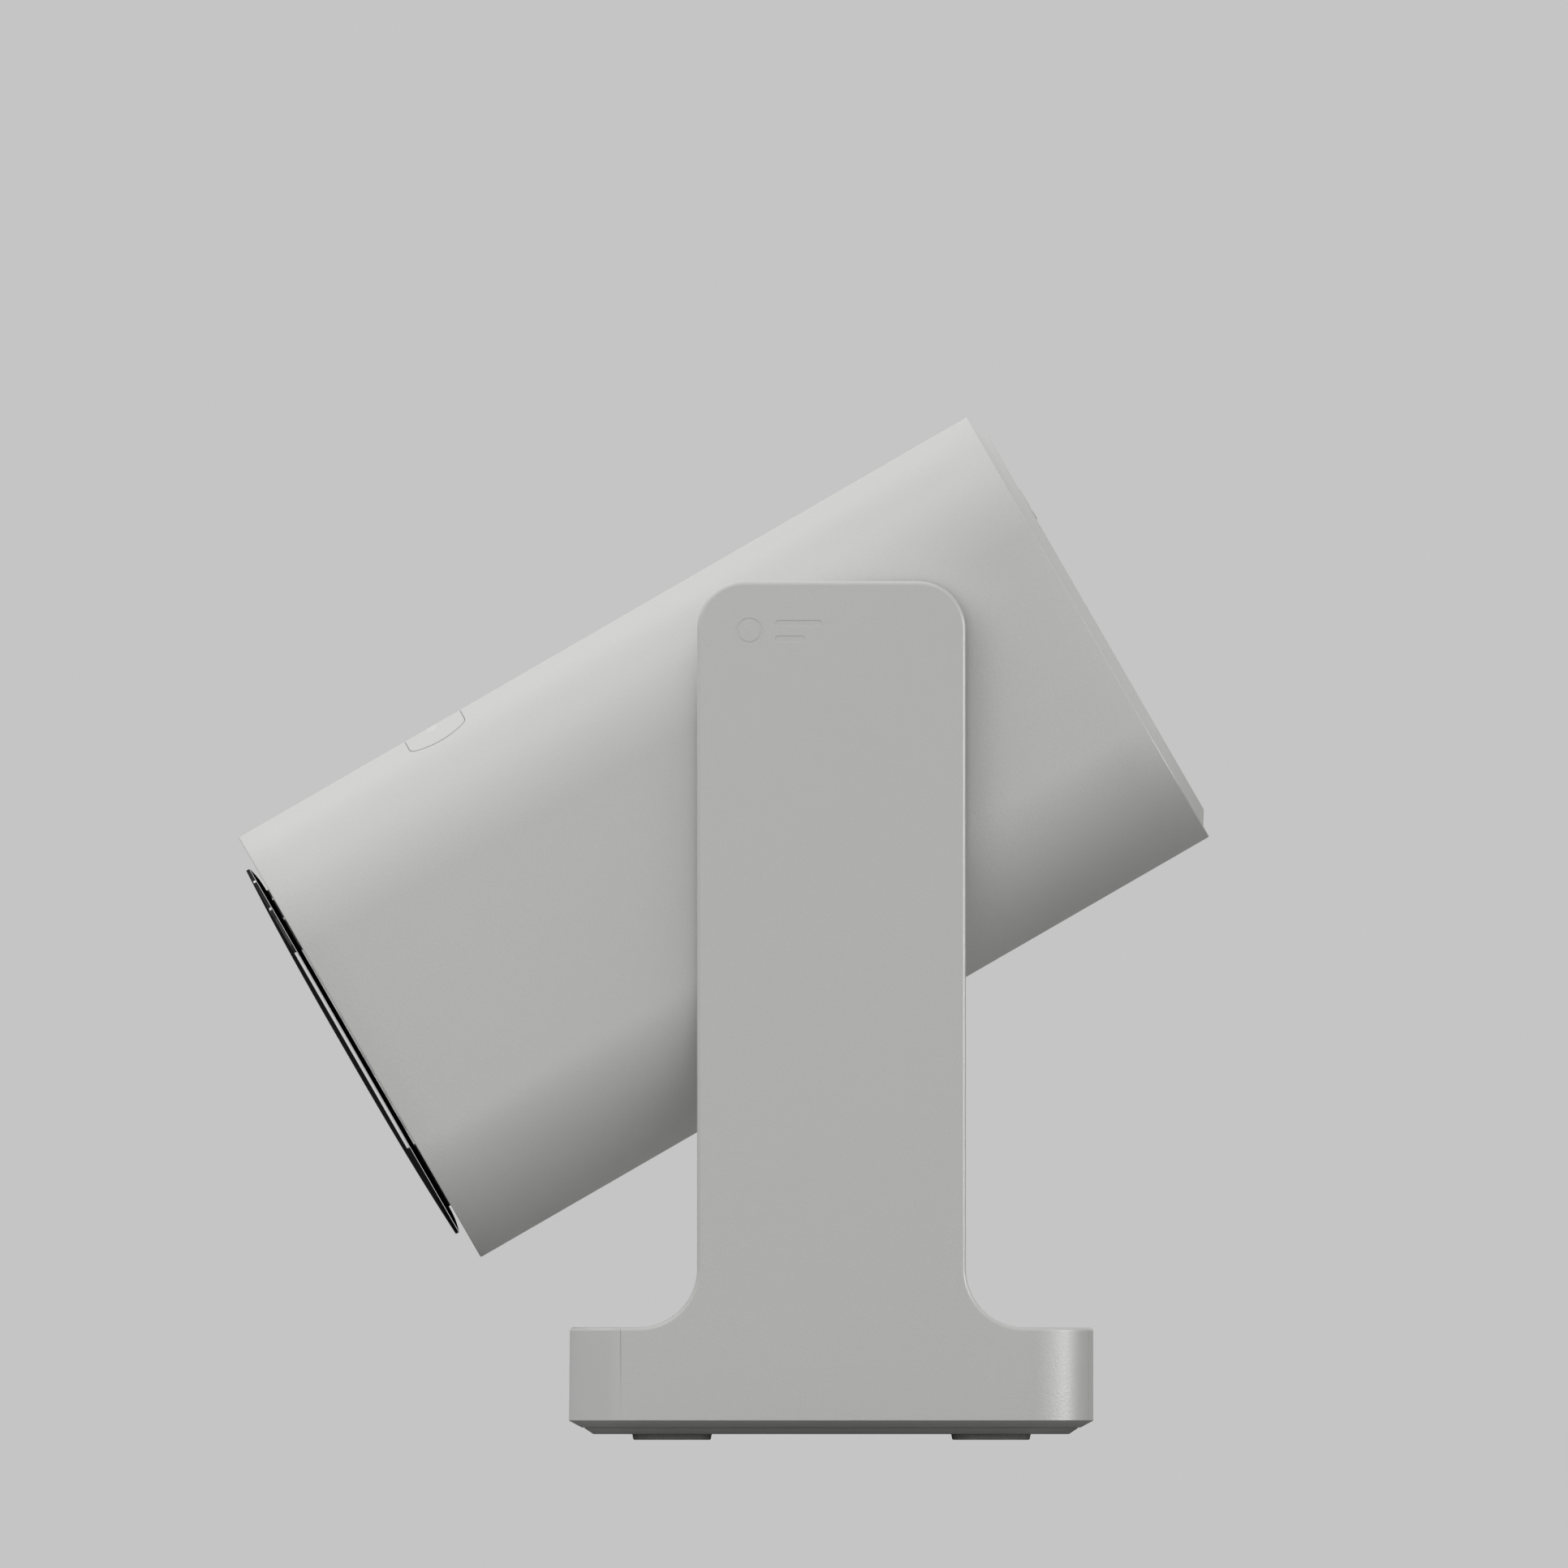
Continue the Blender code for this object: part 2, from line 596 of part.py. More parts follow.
def build_rear_panel(looks):
    x_end = ARM_INNER - GAP
    corner = (HALF_STAND - REAR_CORNER, STAND_REAR - REAR_CORNER)
    start = math.degrees(math.acos((x_end - corner[0]) / REAR_CORNER))
    inner = STAND_REAR - 6.3

    def outline(inset):
        r = REAR_CORNER - inset
        y = corner[1] + math.sqrt(r * r - (x_end - corner[0]) ** 2)
        sweep = arc(corner, r, math.degrees(math.atan2(y - corner[1], x_end - corner[0])), 90, 4)
        mirrored = [(-a, b) for a, b in reversed(sweep)]
        return [(x_end, inner)] + sweep + mirrored + [(-x_end, inner)]

    stations = [(0.0, WALL_BOTTOM), (0.0, BASE_TOP - EDGE_ROUND)]
    for angle in (30, 60, 90):
        a = math.radians(angle)
        stations.append((EDGE_ROUND * (1 - math.cos(a)), BASE_TOP - EDGE_ROUND * (1 - math.sin(a))))
    rings = [across_z(outline(inset), z) for inset, z in stations]
    panel = loft("rear_panel", rings, looks["stand"])
    low = (-x_end + 5, inner - 5, WALL_BOTTOM + COVER_WALL)
    high = (x_end - 5, STAND_REAR - 3, BASE_TOP - 3)
    slot = rounded_rect(-4.8, 4.8, 20.6, 24.4, (1.89,) * 4, 5)
    rings = [across_y(slot, STAND_REAR - 5), across_y(slot, STAND_REAR + 5)]
    cut(panel, block("rear_panel_cutter", low, high, None), loft("socket_slot_cutter", rings, None))

    shell = rounded_rect(-4.47, 4.47, 20.87, 24.13, (1.6,) * 4, 5)
    cavity = rounded_rect(-4.17, 4.17, 21.22, 23.78, (1.25,) * 4, 5)
    tongue = rounded_rect(-3.35, 3.35, 22.15, 22.85, (0.2,) * 4, 5)
    rings = [across_y(shell, 112.5), across_y(shell, 121.6)]
    socket = loft("usb_socket", rings, looks["steel"])
    rings = [across_y(cavity, 114.5), across_y(cavity, 123), across_y(tongue, 123)]
    rings.append(across_y(tongue, 114.5))
    cut(socket, loft("socket_cutter", rings, None, looped=True))
    block("interface_board", (-35, 60, 18.9), (35, 115.8, 20.5), looks["board"])


def build_screws(looks, tray, plate):
    number = 0
    for y in SCREW_Y:
        for x in (-SCREW_X, SCREW_X):
            number += 1
            hole = [(0.5, 3.1), (3.0, 3.1), (3.0, 1.9), (12.0, 1.9)]
            cutter = turned(f"screw_cutter_{number}", hole, (x, y), "Z", None)
            cut(plate, cutter)
            cut(tray, cutter)
            socket = [(1.3 * math.cos(a), 1.3 * math.sin(a)) for a in (i * math.pi / 3 for i in range(6))]
            recess = [lerp(socket[i], socket[(i + 1) % 6], k / 2) for i in range(6) for k in range(2)]
            sizes = [(2.1, 2.5), (2.3, 2.75), (2.85, 2.75), (2.85, 1.5), (6.5, 1.5)]
            rings = [across_z(shifted(recess, x, y), z) for z in (2.7, 2.1)]
            rings += [across_z(shifted(circle(r, 12), x, y), z) for z, r in sizes]
            loft(f"bottom_screw_{number}", rings, looks["steel"])


def shifted(outline, x, y):
    return [(a + x, b + y) for a, b in outline]


def build_feet(looks):
    for y, place in zip(FOOT_CENTRES_Y, ("front", "rear")):
        for side, word in ((1, "right"), (-1, "left")):
            rings = []
            for z, inset in ((FOOT_TOP, 0.0), (0.35, 0.75), (0.0, 1.1)):
                half_x = FOOT_WIDTH / 2 - inset
                half_y = FOOT_LENGTH / 2 - inset
                outline = rounded_rect(-half_x, half_x, -half_y, half_y, (6 - inset,) * 4, 6)
                rings.append(across_z(shifted(outline, side * FOOT_CENTRE_X, y), z))
            loft(f"foot_{place}_{word}", rings, looks["rubber"])


def make_looks():
    return {
        "shell": material("shell_plastic", (0.64, 0.64, 0.62), 0.5),
        "stand": material("stand_plastic", (0.6, 0.6, 0.58), 0.55),
        "fascia": material("fascia_plastic", (0.55, 0.57, 0.54), 0.4),
        "plate": material("plate_plastic", (0.5, 0.5, 0.48), 0.6),
        "black": material("black_plastic", (0.012, 0.012, 0.013), 0.15),
        "glass": material("cover_glass", (0.008, 0.008, 0.01), 0.04),
        "lcd": material("display_panel", (0.02, 0.02, 0.025), 0.3),
        "window": material("light_window", (0.8, 0.82, 0.8), 0.2),
        "rubber": material("foot_rubber", (0.12, 0.12, 0.12), 0.85),
        "steel": material("steel", (0.55, 0.55, 0.56), 0.35, 0.9),
        "brass": material("bush_brass", (0.72, 0.55, 0.28), 0.35, 0.9),
        "aluminium": material("aluminium", (0.7, 0.7, 0.71), 0.4, 0.9),
        "board": material("circuit_board", (0.03, 0.16, 0.07), 0.5),
        "copper": material("antenna_copper", (0.7, 0.38, 0.22), 0.35, 0.9),
        "dark": material("dark_plastic", (0.05, 0.05, 0.055), 0.6),
    }


def make_head():
    head = bpy.data.objects.new("head_tilt_axis", None)
    bpy.context.scene.collection.objects.link(head)
    turn = Matrix.Rotation(math.radians(TILT_DEG), 4, "X")
    head.matrix_world = Matrix.Translation(Vector((0, PIVOT_Y, PIVOT_Z)) * MM) @ turn
    return head


def main():
    clear_scene()
    looks = make_looks()
    head = make_head()
    build_tube(looks, head)
    build_pad(looks, head)
    build_display(looks, head)
    build_rear(looks, head)
    build_electronics(looks, head)
    for side, word in ((1, "right"), (-1, "left")):
        build_hinge(looks, head, side, word)
        build_cheek(looks, side, word)
        build_arm(looks, side, word)
    build_base(looks)
    build_feet(looks)


main()
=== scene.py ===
"""Looks for the counter terminal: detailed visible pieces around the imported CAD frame.

Lengths below are in millimetres unless a name ends in _m, and are scaled when a mesh is made.
"""

import json
import math

import bmesh
import bpy
from mathutils import Matrix, Vector


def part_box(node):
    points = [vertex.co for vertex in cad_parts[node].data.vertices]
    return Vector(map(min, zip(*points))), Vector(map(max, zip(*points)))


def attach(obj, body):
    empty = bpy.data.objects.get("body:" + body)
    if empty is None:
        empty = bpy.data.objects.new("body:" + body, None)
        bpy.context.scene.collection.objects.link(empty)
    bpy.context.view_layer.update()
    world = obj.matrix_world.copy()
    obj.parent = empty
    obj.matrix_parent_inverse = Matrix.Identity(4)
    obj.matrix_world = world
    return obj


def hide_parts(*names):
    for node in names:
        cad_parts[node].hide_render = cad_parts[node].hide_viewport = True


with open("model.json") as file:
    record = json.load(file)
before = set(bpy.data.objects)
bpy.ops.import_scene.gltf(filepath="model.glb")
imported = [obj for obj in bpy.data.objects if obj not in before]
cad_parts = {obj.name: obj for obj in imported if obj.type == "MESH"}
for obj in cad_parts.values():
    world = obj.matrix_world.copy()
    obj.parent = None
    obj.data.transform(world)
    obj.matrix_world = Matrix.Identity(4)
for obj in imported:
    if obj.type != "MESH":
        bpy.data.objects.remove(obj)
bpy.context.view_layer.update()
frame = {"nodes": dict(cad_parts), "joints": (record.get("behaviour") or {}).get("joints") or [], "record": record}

MM = 0.001
HEAD_TILT_DEG = 30.0

# ---------------------------------------------------------------- sizes read from the frame


def size_of(node):
    """Lowest and highest corner of a CAD node, in millimetres."""
    low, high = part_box(node)
    return low / MM, high / MM


TILT = next(j for j in frame["joints"] if j["name"] == "head_tilt")
PIVOT = Vector(TILT["pos_m"]) / MM
HEAD_TO_WORLD = Matrix.Translation(PIVOT * MM) @ Matrix.Rotation(
    math.radians(HEAD_TILT_DEG), 4, "X"
)


def size_in_head(node):
    """Lowest and highest corner of a head node in the head's own tilted frame."""
    back = HEAD_TO_WORLD.inverted()
    points = [back @ v.co / MM for v in frame["nodes"][node].data.vertices]
    low = [min(p[i] for p in points) for i in range(3)]
    high = [max(p[i] for p in points) for i in range(3)]
    return low, high


TUBE_LOW, TUBE_HIGH = size_in_head("tube_shell")
HALF_W = (TUBE_HIGH[0] - TUBE_LOW[0]) / 2
HALF_H = (TUBE_HIGH[2] - TUBE_LOW[2]) / 2
FRONT = TUBE_LOW[1]
REAR = TUBE_HIGH[1]
TUBE_CORNER = 44.0
TUBE_WALL = 3.0
CORNER_X = HALF_W - TUBE_CORNER
CORNER_Z = HALF_H - TUBE_CORNER

COVER_LOW, COVER_HIGH = size_of("side_cover_right")
FASCIA_LOW = size_of("front_fascia")[0]
PANEL_LOW, PANEL_HIGH = size_of("rear_panel")
HALF_STAND = COVER_HIGH.x
ARM_INNER = COVER_LOW.x
SEAM_Y = COVER_LOW.y
STAND_FRONT = FASCIA_LOW.y
STAND_REAR = PANEL_HIGH.y
WALL_BOTTOM = COVER_LOW.z
ARM_TOP = COVER_HIGH.z
BASE_TOP = PANEL_HIGH.z
FRONT_CORNER = 16.6
REAR_CORNER = 22.5
ARM_FRONT = -9.2
ARM_REAR = 80.2
ARM_CORNER = 15.9
ARM_FILLET = 19.5
EDGE_ROUND = 1.4
COVER_WALL = 2.5
AXLE_HOLE_RADIUS = 6.5

# ---------------------------------------------------------------- outlines


def arc(centre, radius, start_deg, end_deg, steps):
    points = []
    for i in range(steps + 1):
        angle = math.radians(start_deg + (end_deg - start_deg) * i / steps)
        points.append((centre[0] + radius * math.cos(angle), centre[1] + radius * math.sin(angle)))
    return points


def rounded_rect(x0, x1, y0, y1, radii, steps=24):
    """Counter-clockwise outline; radii are for the corners (x1,y1), (x0,y1), (x0,y0), (x1,y0)."""
    a, b, c, d = radii
    points = arc((x1 - a, y1 - a), a, 0, 90, steps)
    points += arc((x0 + b, y1 - b), b, 90, 180, steps)
    points += arc((x0 + c, y0 + c), c, 180, 270, steps)
    points += arc((x1 - d, y0 + d), d, 270, 360, steps)
    return points


def tube_section(inset, steps=32):
    radius = max(TUBE_CORNER - inset, 1.5)
    x = HALF_W - inset
    z = HALF_H - inset
    return rounded_rect(-x, x, -z, z, (radius,) * 4, steps)


def base_section(inset, steps=24):
    x = HALF_STAND - inset
    rear = REAR_CORNER - inset
    front = FRONT_CORNER - inset
    radii = (rear, rear, front, front)
    return rounded_rect(-x, x, STAND_FRONT + inset, STAND_REAR - inset, radii, steps)


def across_x(outline, x):
    return [(x, a, b) for a, b in outline]


def across_y(outline, y):
    return [(a, y, b) for a, b in outline]


def across_z(outline, z):
    return [(a, b, z) for a, b in outline]


def moved(outline, a, b):
    return [(p[0] + a, p[1] + b) for p in outline]


def rounding(radius, steps=5):
    """(inset, drop) pairs from a wall's top end over a quarter round to the flat."""
    pairs = []
    for i in range(steps + 1):
        angle = math.pi / 2 * i / steps
        pairs.append((radius * (1 - math.cos(angle)), radius * (1 - math.sin(angle))))
    return pairs


def circle(radius, steps=64):
    angles = [2 * math.pi * i / steps for i in range(steps)]
    return [(radius * math.cos(a), radius * math.sin(a)) for a in angles]


# ---------------------------------------------------------------- meshes


def add_rings(bm, rings, looped=False):
    loops = [[bm.verts.new(Vector(p) * MM) for p in ring] for ring in rings]
    pairs = list(zip(loops, loops[1:]))
    if looped:
        pairs.append((loops[-1], loops[0]))
    for low, high in pairs:
        for i in range(len(low)):
            j = (i + 1) % len(low)
            bm.faces.new((low[i], low[j], high[j], high[i]))
    if not looped:
        bm.faces.new(loops[0])
        bm.faces.new(loops[-1])


def finish_mesh(name, bm, sharp_deg=32.0):
    bmesh.ops.remove_doubles(bm, verts=bm.verts, dist=1e-7)
    bmesh.ops.recalc_face_normals(bm, faces=bm.faces)
    mesh = bpy.data.meshes.new(name)
    bm.to_mesh(mesh)
    bm.free()
    mesh.shade_smooth()
    mesh.set_sharp_from_angle(angle=math.radians(sharp_deg))
    obj = bpy.data.objects.new(name, mesh)
    bpy.context.scene.collection.objects.link(obj)
    return obj


def loft(name, rings, looped=False, sharp_deg=32.0):
    bm = bmesh.new()
    add_rings(bm, rings, looped)
    return finish_mesh(name, bm, sharp_deg)


def turned(name, profile, centre, axis, looped=False, steps=64):
    rings = []
    for along, radius in profile:
        points = moved(circle(radius, steps), *centre)
        rings.append({"X": across_x, "Y": across_y, "Z": across_z}[axis](points, along))
    return loft(name, rings, looped)


def cut(obj, *cutters):
    """Cut at once and drop the cutters, so that a posed piece keeps its own holes."""
    for cutter in cutters:
        modifier = obj.modifiers.new(cutter.name, "BOOLEAN")
        modifier.operation = "DIFFERENCE"
        modifier.solver = "EXACT"
        modifier.object = cutter
    bpy.context.view_layer.update()
    graph = bpy.context.evaluated_depsgraph_get()
    mesh = bpy.data.meshes.new_from_object(obj.evaluated_get(graph), depsgraph=graph)
    obj.modifiers.clear()
    obj.data = mesh
    for cutter in cutters:
        bpy.data.objects.remove(cutter)


def place(obj, body, look, slot, *stands_for, even=True):
    """Give a piece its looks and its body, and hide the CAD nodes that it replaces. The slot argument is not used.
    """
    obj.data.materials.clear()
    obj.data.materials.append(look)
    if even:
        normals = obj.modifiers.new("even_normals", "WEIGHTED_NORMAL")
        normals.keep_sharp = True
        normals.weight = 80
    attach(obj, body)
    if stands_for:
        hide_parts(*stands_for)
    return obj


def to_head(*objs):
    """Objects made in the head's own frame go to where the head is at rest."""
    for obj in objs:
        obj.matrix_world = HEAD_TO_WORLD
    bpy.context.view_layer.update()


# ---------------------------------------------------------------- materials


def node(tree, kind, **values):
    made = tree.nodes.new(kind)
    for name, value in values.items():
        if name in made.inputs:
            made.inputs[name].default_value = value
        else:
            setattr(made, name, value)
    return made


def noise(tree, coords, scale, detail=3.0, rough=0.55):
    made = node(tree, "ShaderNodeTexNoise", Scale=scale, Detail=detail, Roughness=rough)
    tree.links.new(coords, made.inputs["Vector"])
    return made


def remap(tree, source, low, high, start=0.35, end=0.65):
    made = node(tree, "ShaderNodeMapRange")
    made.inputs["From Min"].default_value = start
    made.inputs["From Max"].default_value = end
    made.inputs["To Min"].default_value = low
    made.inputs["To Max"].default_value = high
    tree.links.new(source, made.inputs["Value"])
    return made.outputs["Result"]


def start_material(name):
    made = bpy.data.materials.new(name)
    made.use_nodes = True
    tree = made.node_tree
    shader = tree.nodes["Principled BSDF"]
    coords = tree.nodes.new("ShaderNodeTexCoord").outputs["Object"]
    return made, tree, shader, coords


def tinted(tree, colour, factor):
    """The colour, made lighter or darker by a socket that stays near 1."""
    mix = node(tree, "ShaderNodeVectorMath", operation="SCALE")
    mix.inputs[0].default_value = colour
    tree.links.new(factor, mix.inputs["Scale"])
    return mix.outputs["Vector"]


def edge_mask(tree, radius_m):
    """About 1 along sharp edges and 0 on flats, from how far a rounded normal leans."""
    bevel = node(tree, "ShaderNodeBevel", samples=4, Radius=radius_m)
    normal = tree.nodes.new("ShaderNodeNewGeometry").outputs["Normal"]
    dot = node(tree, "ShaderNodeVectorMath", operation="DOT_PRODUCT")
    tree.links.new(bevel.outputs["Normal"], dot.inputs[0])
    tree.links.new(normal, dot.inputs[1])
    return remap(tree, dot.outputs["Value"], 1.0, 0.0, 0.75, 0.98)


def drawn_lines(tree, coords, normal):
    """Fine lines along the tube, only where its top and bottom corners begin."""
    stretch = node(tree, "ShaderNodeMapping")
    stretch.inputs["Scale"].default_value = (1.0, 0.012, 1.0)
    tree.links.new(coords, stretch.inputs["Vector"])
    streaks = noise(tree, stretch.outputs["Vector"], 1500.0, 3.0)
    split = tree.nodes.new("ShaderNodeSeparateXYZ")
    tree.links.new(coords, split.inputs["Vector"])
    height = node(tree, "ShaderNodeMath", operation="ABSOLUTE")
    tree.links.new(split.outputs["Z"], height.inputs[0])
    edge = HALF_H * MM
    share = remap(tree, height.outputs["Value"], 0.0, 1.0, edge - 0.009, edge - 0.001)
    amount = node(tree, "ShaderNodeMath", operation="MULTIPLY")
    tree.links.new(streaks.outputs["Fac"], amount.inputs[0])
    tree.links.new(share, amount.inputs[1])
    bump = node(tree, "ShaderNodeBump", Strength=0.5, Distance=0.00012)
    tree.links.new(amount.outputs["Value"], bump.inputs["Height"])
    tree.links.new(normal, bump.inputs["Normal"])
    return bump.outputs["Normal"]


def moulded_plastic(
    name, colour, rough, grain_m, depth_m, strength, sheen=0.5, painted_edge_shade=0.0, lines=False
):
    """Moulded plastic: cell-like grain, finer tooth, slow tone and gloss changes, and rounded edges darkened in
    patches as painted shade and made glossier.
    """
    made, tree, shader, coords = start_material(name)
    links = tree.links
    warp = noise(tree, coords, 0.6 / grain_m, 2.0)
    spread = node(tree, "ShaderNodeVectorMath", operation="SCALE", Scale=grain_m * 0.9)
    links.new(warp.outputs["Color"], spread.inputs[0])
    shifted = node(tree, "ShaderNodeVectorMath", operation="ADD")
    links.new(coords, shifted.inputs[0])
    links.new(spread.outputs["Vector"], shifted.inputs[1])
    cells = node(tree, "ShaderNodeTexVoronoi", Scale=1.0 / grain_m)
    cells.feature = "SMOOTH_F1"
    cells.inputs["Smoothness"].default_value = 0.7
    links.new(shifted.outputs["Vector"], cells.inputs["Vector"])
    tooth = noise(tree, coords, 2.4 / grain_m, 4.0, 0.6)
    height = node(tree, "ShaderNodeMath", operation="MULTIPLY_ADD")
    height.inputs[1].default_value = 0.55
    links.new(tooth.outputs["Fac"], height.inputs[0])
    links.new(cells.outputs["Distance"], height.inputs[2])
    bump = node(tree, "ShaderNodeBump", Strength=strength, Distance=depth_m)
    links.new(height.outputs["Value"], bump.inputs["Height"])
    normal = bump.outputs["Normal"]
    if lines:
        normal = drawn_lines(tree, coords, normal)
    links.new(normal, shader.inputs["Normal"])

    slow = noise(tree, coords, 9.0, 2.0)
    tone = remap(tree, slow.outputs["Fac"], 0.985, 1.015)
    fine = remap(tree, tooth.outputs["Fac"], 0.975, 1.025)
    both = node(tree, "ShaderNodeMath", operation="MULTIPLY")
    links.new(tone, both.inputs[0])
    links.new(fine, both.inputs[1])
    factor = both.outputs["Value"]
    gloss = remap(tree, slow.outputs["Fac"], rough - 0.03, rough + 0.03)
    # Painted shade: rounded edges are darkened in patches along a bevel mask, and their roughness is lowered
    # there.
    if painted_edge_shade:
        shaded_glossy_edges = edge_mask(tree, 0.0009)
        patchy = remap(tree, noise(tree, coords, 260.0).outputs["Fac"], 0.2, 1.0)
        amount = node(tree, "ShaderNodeMath", operation="MULTIPLY")
        links.new(shaded_glossy_edges, amount.inputs[0])
        links.new(patchy, amount.inputs[1])
        shift = node(tree, "ShaderNodeMath", operation="MULTIPLY_ADD")
        shift.inputs[1].default_value = painted_edge_shade
        links.new(amount.outputs["Value"], shift.inputs[0])
        links.new(factor, shift.inputs[2])
        factor = shift.outputs["Value"]
        polish = node(tree, "ShaderNodeMath", operation="MULTIPLY_ADD")
        polish.inputs[1].default_value = -0.12
        links.new(amount.outputs["Value"], polish.inputs[0])
        links.new(gloss, polish.inputs[2])
        gloss = polish.outputs["Value"]
    links.new(tinted(tree, colour, factor), shader.inputs["Base Color"])
    links.new(gloss, shader.inputs["Roughness"])
    shader.inputs["Specular IOR Level"].default_value = sheen
    return made


def add_coat(made, share, rough):
    """An even reflection over the base shader, like a coating that doesn't flare at low angles."""
    tree = made.node_tree
    base = tree.nodes["Principled BSDF"]
    base.inputs["Specular IOR Level"].default_value = 0.0
    shine = node(tree, "ShaderNodeBsdfGlossy")
    tree.links.new(rough, shine.inputs["Roughness"])
    mix = node(tree, "ShaderNodeMixShader", Fac=share)
    tree.links.new(base.outputs["BSDF"], mix.inputs[1])
    tree.links.new(shine.outputs["BSDF"], mix.inputs[2])
    tree.links.new(mix.outputs["Shader"], tree.nodes["Material Output"].inputs["Surface"])


def gloss_black(name, rough, colour=(0.0015, 0.0015, 0.0016)):
    """Polished black: faint wipe marks in the gloss."""
    made, tree, shader, coords = start_material(name)
    wipe = node(tree, "ShaderNodeMapping")
    wipe.inputs["Scale"].default_value = (14.0, 3.0, 60.0)
    tree.links.new(coords, wipe.inputs["Vector"])
    marks = noise(tree, wipe.outputs["Vector"], 3.0, 5.0, 0.65)
    tone = remap(tree, marks.outputs["Fac"], 0.8, 1.3)
    tree.links.new(tinted(tree, colour, tone), shader.inputs["Base Color"])
    gloss = remap(tree, marks.outputs["Fac"], rough * 0.7, rough * 1.5)
    tree.links.new(gloss, shader.inputs["Roughness"])
    add_coat(made, 0.03, gloss)
    return made


def cover_glass(name):
    """Black-printed cover glass with the dark display area just visible behind it."""
    made, tree, shader, coords = start_material(name)
    links = tree.links
    split = tree.nodes.new("ShaderNodeSeparateXYZ")
    links.new(coords, split.inputs["Vector"])
    inside = []
    for axis, half in (("X", 0.0862), ("Z", 0.0539)):
        size = node(tree, "ShaderNodeMath", operation="ABSOLUTE")
        links.new(split.outputs[axis], size.inputs[0])
        inside.append(remap(tree, size.outputs["Value"], 1.0, 0.0, half - 0.0001, half))
    area = node(tree, "ShaderNodeMath", operation="MULTIPLY")
    links.new(inside[0], area.inputs[0])
    links.new(inside[1], area.inputs[1])
    tone = node(tree, "ShaderNodeMix", data_type="RGBA")
    tone.inputs["A"].default_value = (0.002, 0.002, 0.0022, 1)
    tone.inputs["B"].default_value = (0.0075, 0.008, 0.0095, 1)
    links.new(area.outputs["Value"], tone.inputs["Factor"])
    links.new(tone.outputs["Result"], shader.inputs["Base Color"])
    smear = noise(tree, coords, 18.0, 4.0, 0.6)
    gloss = remap(tree, smear.outputs["Fac"], 0.02, 0.06)
    links.new(gloss, shader.inputs["Roughness"])
    add_coat(made, 0.035, gloss)
    return made


def metal(name, colour, rough, stretch=(1.0, 1.0, 1.0)):
    """Machined or rolled metal with directional scratches."""
    made, tree, shader, coords = start_material(name)
    mapping = node(tree, "ShaderNodeMapping")
    mapping.inputs["Scale"].default_value = stretch
    tree.links.new(coords, mapping.inputs["Vector"])
    lines = noise(tree, mapping.outputs["Vector"], 600.0, 6.0, 0.7)
    tree.links.new(
        tinted(tree, colour, remap(tree, lines.outputs["Fac"], 0.9, 1.08)),
        shader.inputs["Base Color"],
    )
    tree.links.new(
        remap(tree, lines.outputs["Fac"], rough - 0.06, rough + 0.1), shader.inputs["Roughness"]
    )
    shader.inputs["Metallic"].default_value = 1.0
    bump = node(tree, "ShaderNodeBump", Strength=0.15, Distance=0.00003)
    tree.links.new(lines.outputs["Fac"], bump.inputs["Height"])
    tree.links.new(bump.outputs["Normal"], shader.inputs["Normal"])
    return made


def circuit_board(name):
    """Solder-mask green with copper tracks showing faintly through it."""
    made, tree, shader, coords = start_material(name)
    bricks = node(tree, "ShaderNodeTexBrick", Scale=160.0)
    bricks.inputs["Color1"].default_value = (0.012, 0.075, 0.035, 1)
    bricks.inputs["Color2"].default_value = (0.016, 0.095, 0.045, 1)
    bricks.inputs["Mortar"].default_value = (0.05, 0.16, 0.07, 1)
    tree.links.new(coords, bricks.inputs["Vector"])
    tree.links.new(bricks.outputs["Color"], shader.inputs["Base Color"])
    shader.inputs["Roughness"].default_value = 0.35
    return made


def rubber(name):
    made, tree, shader, coords = start_material(name)
    pores = noise(tree, coords, 1900.0, 5.0, 0.7)
    tree.links.new(
        tinted(tree, (0.72, 0.72, 0.705), remap(tree, pores.outputs["Fac"], 0.88, 1.08)),
        shader.inputs["Base Color"],
    )
    shader.inputs["Roughness"].default_value = 0.85
    bump = node(tree, "ShaderNodeBump", Strength=0.35, Distance=0.0001)
    tree.links.new(pores.outputs["Fac"], bump.inputs["Height"])
    tree.links.new(bump.outputs["Normal"], shader.inputs["Normal"])
    return made


def light_window(name):
    """Frosted indicator window, not lit."""
    made, tree, shader, coords = start_material(name)
    frost = noise(tree, coords, 900.0, 4.0)
    tree.links.new(
        tinted(tree, (0.70, 0.70, 0.686), remap(tree, frost.outputs["Fac"], 0.96, 1.04)),
        shader.inputs["Base Color"],
    )
    shader.inputs["Roughness"].default_value = 0.3
    return made


SHELL_COLOUR = (0.690, 0.690, 0.677)
STAND_COLOUR = (0.672, 0.672, 0.658)

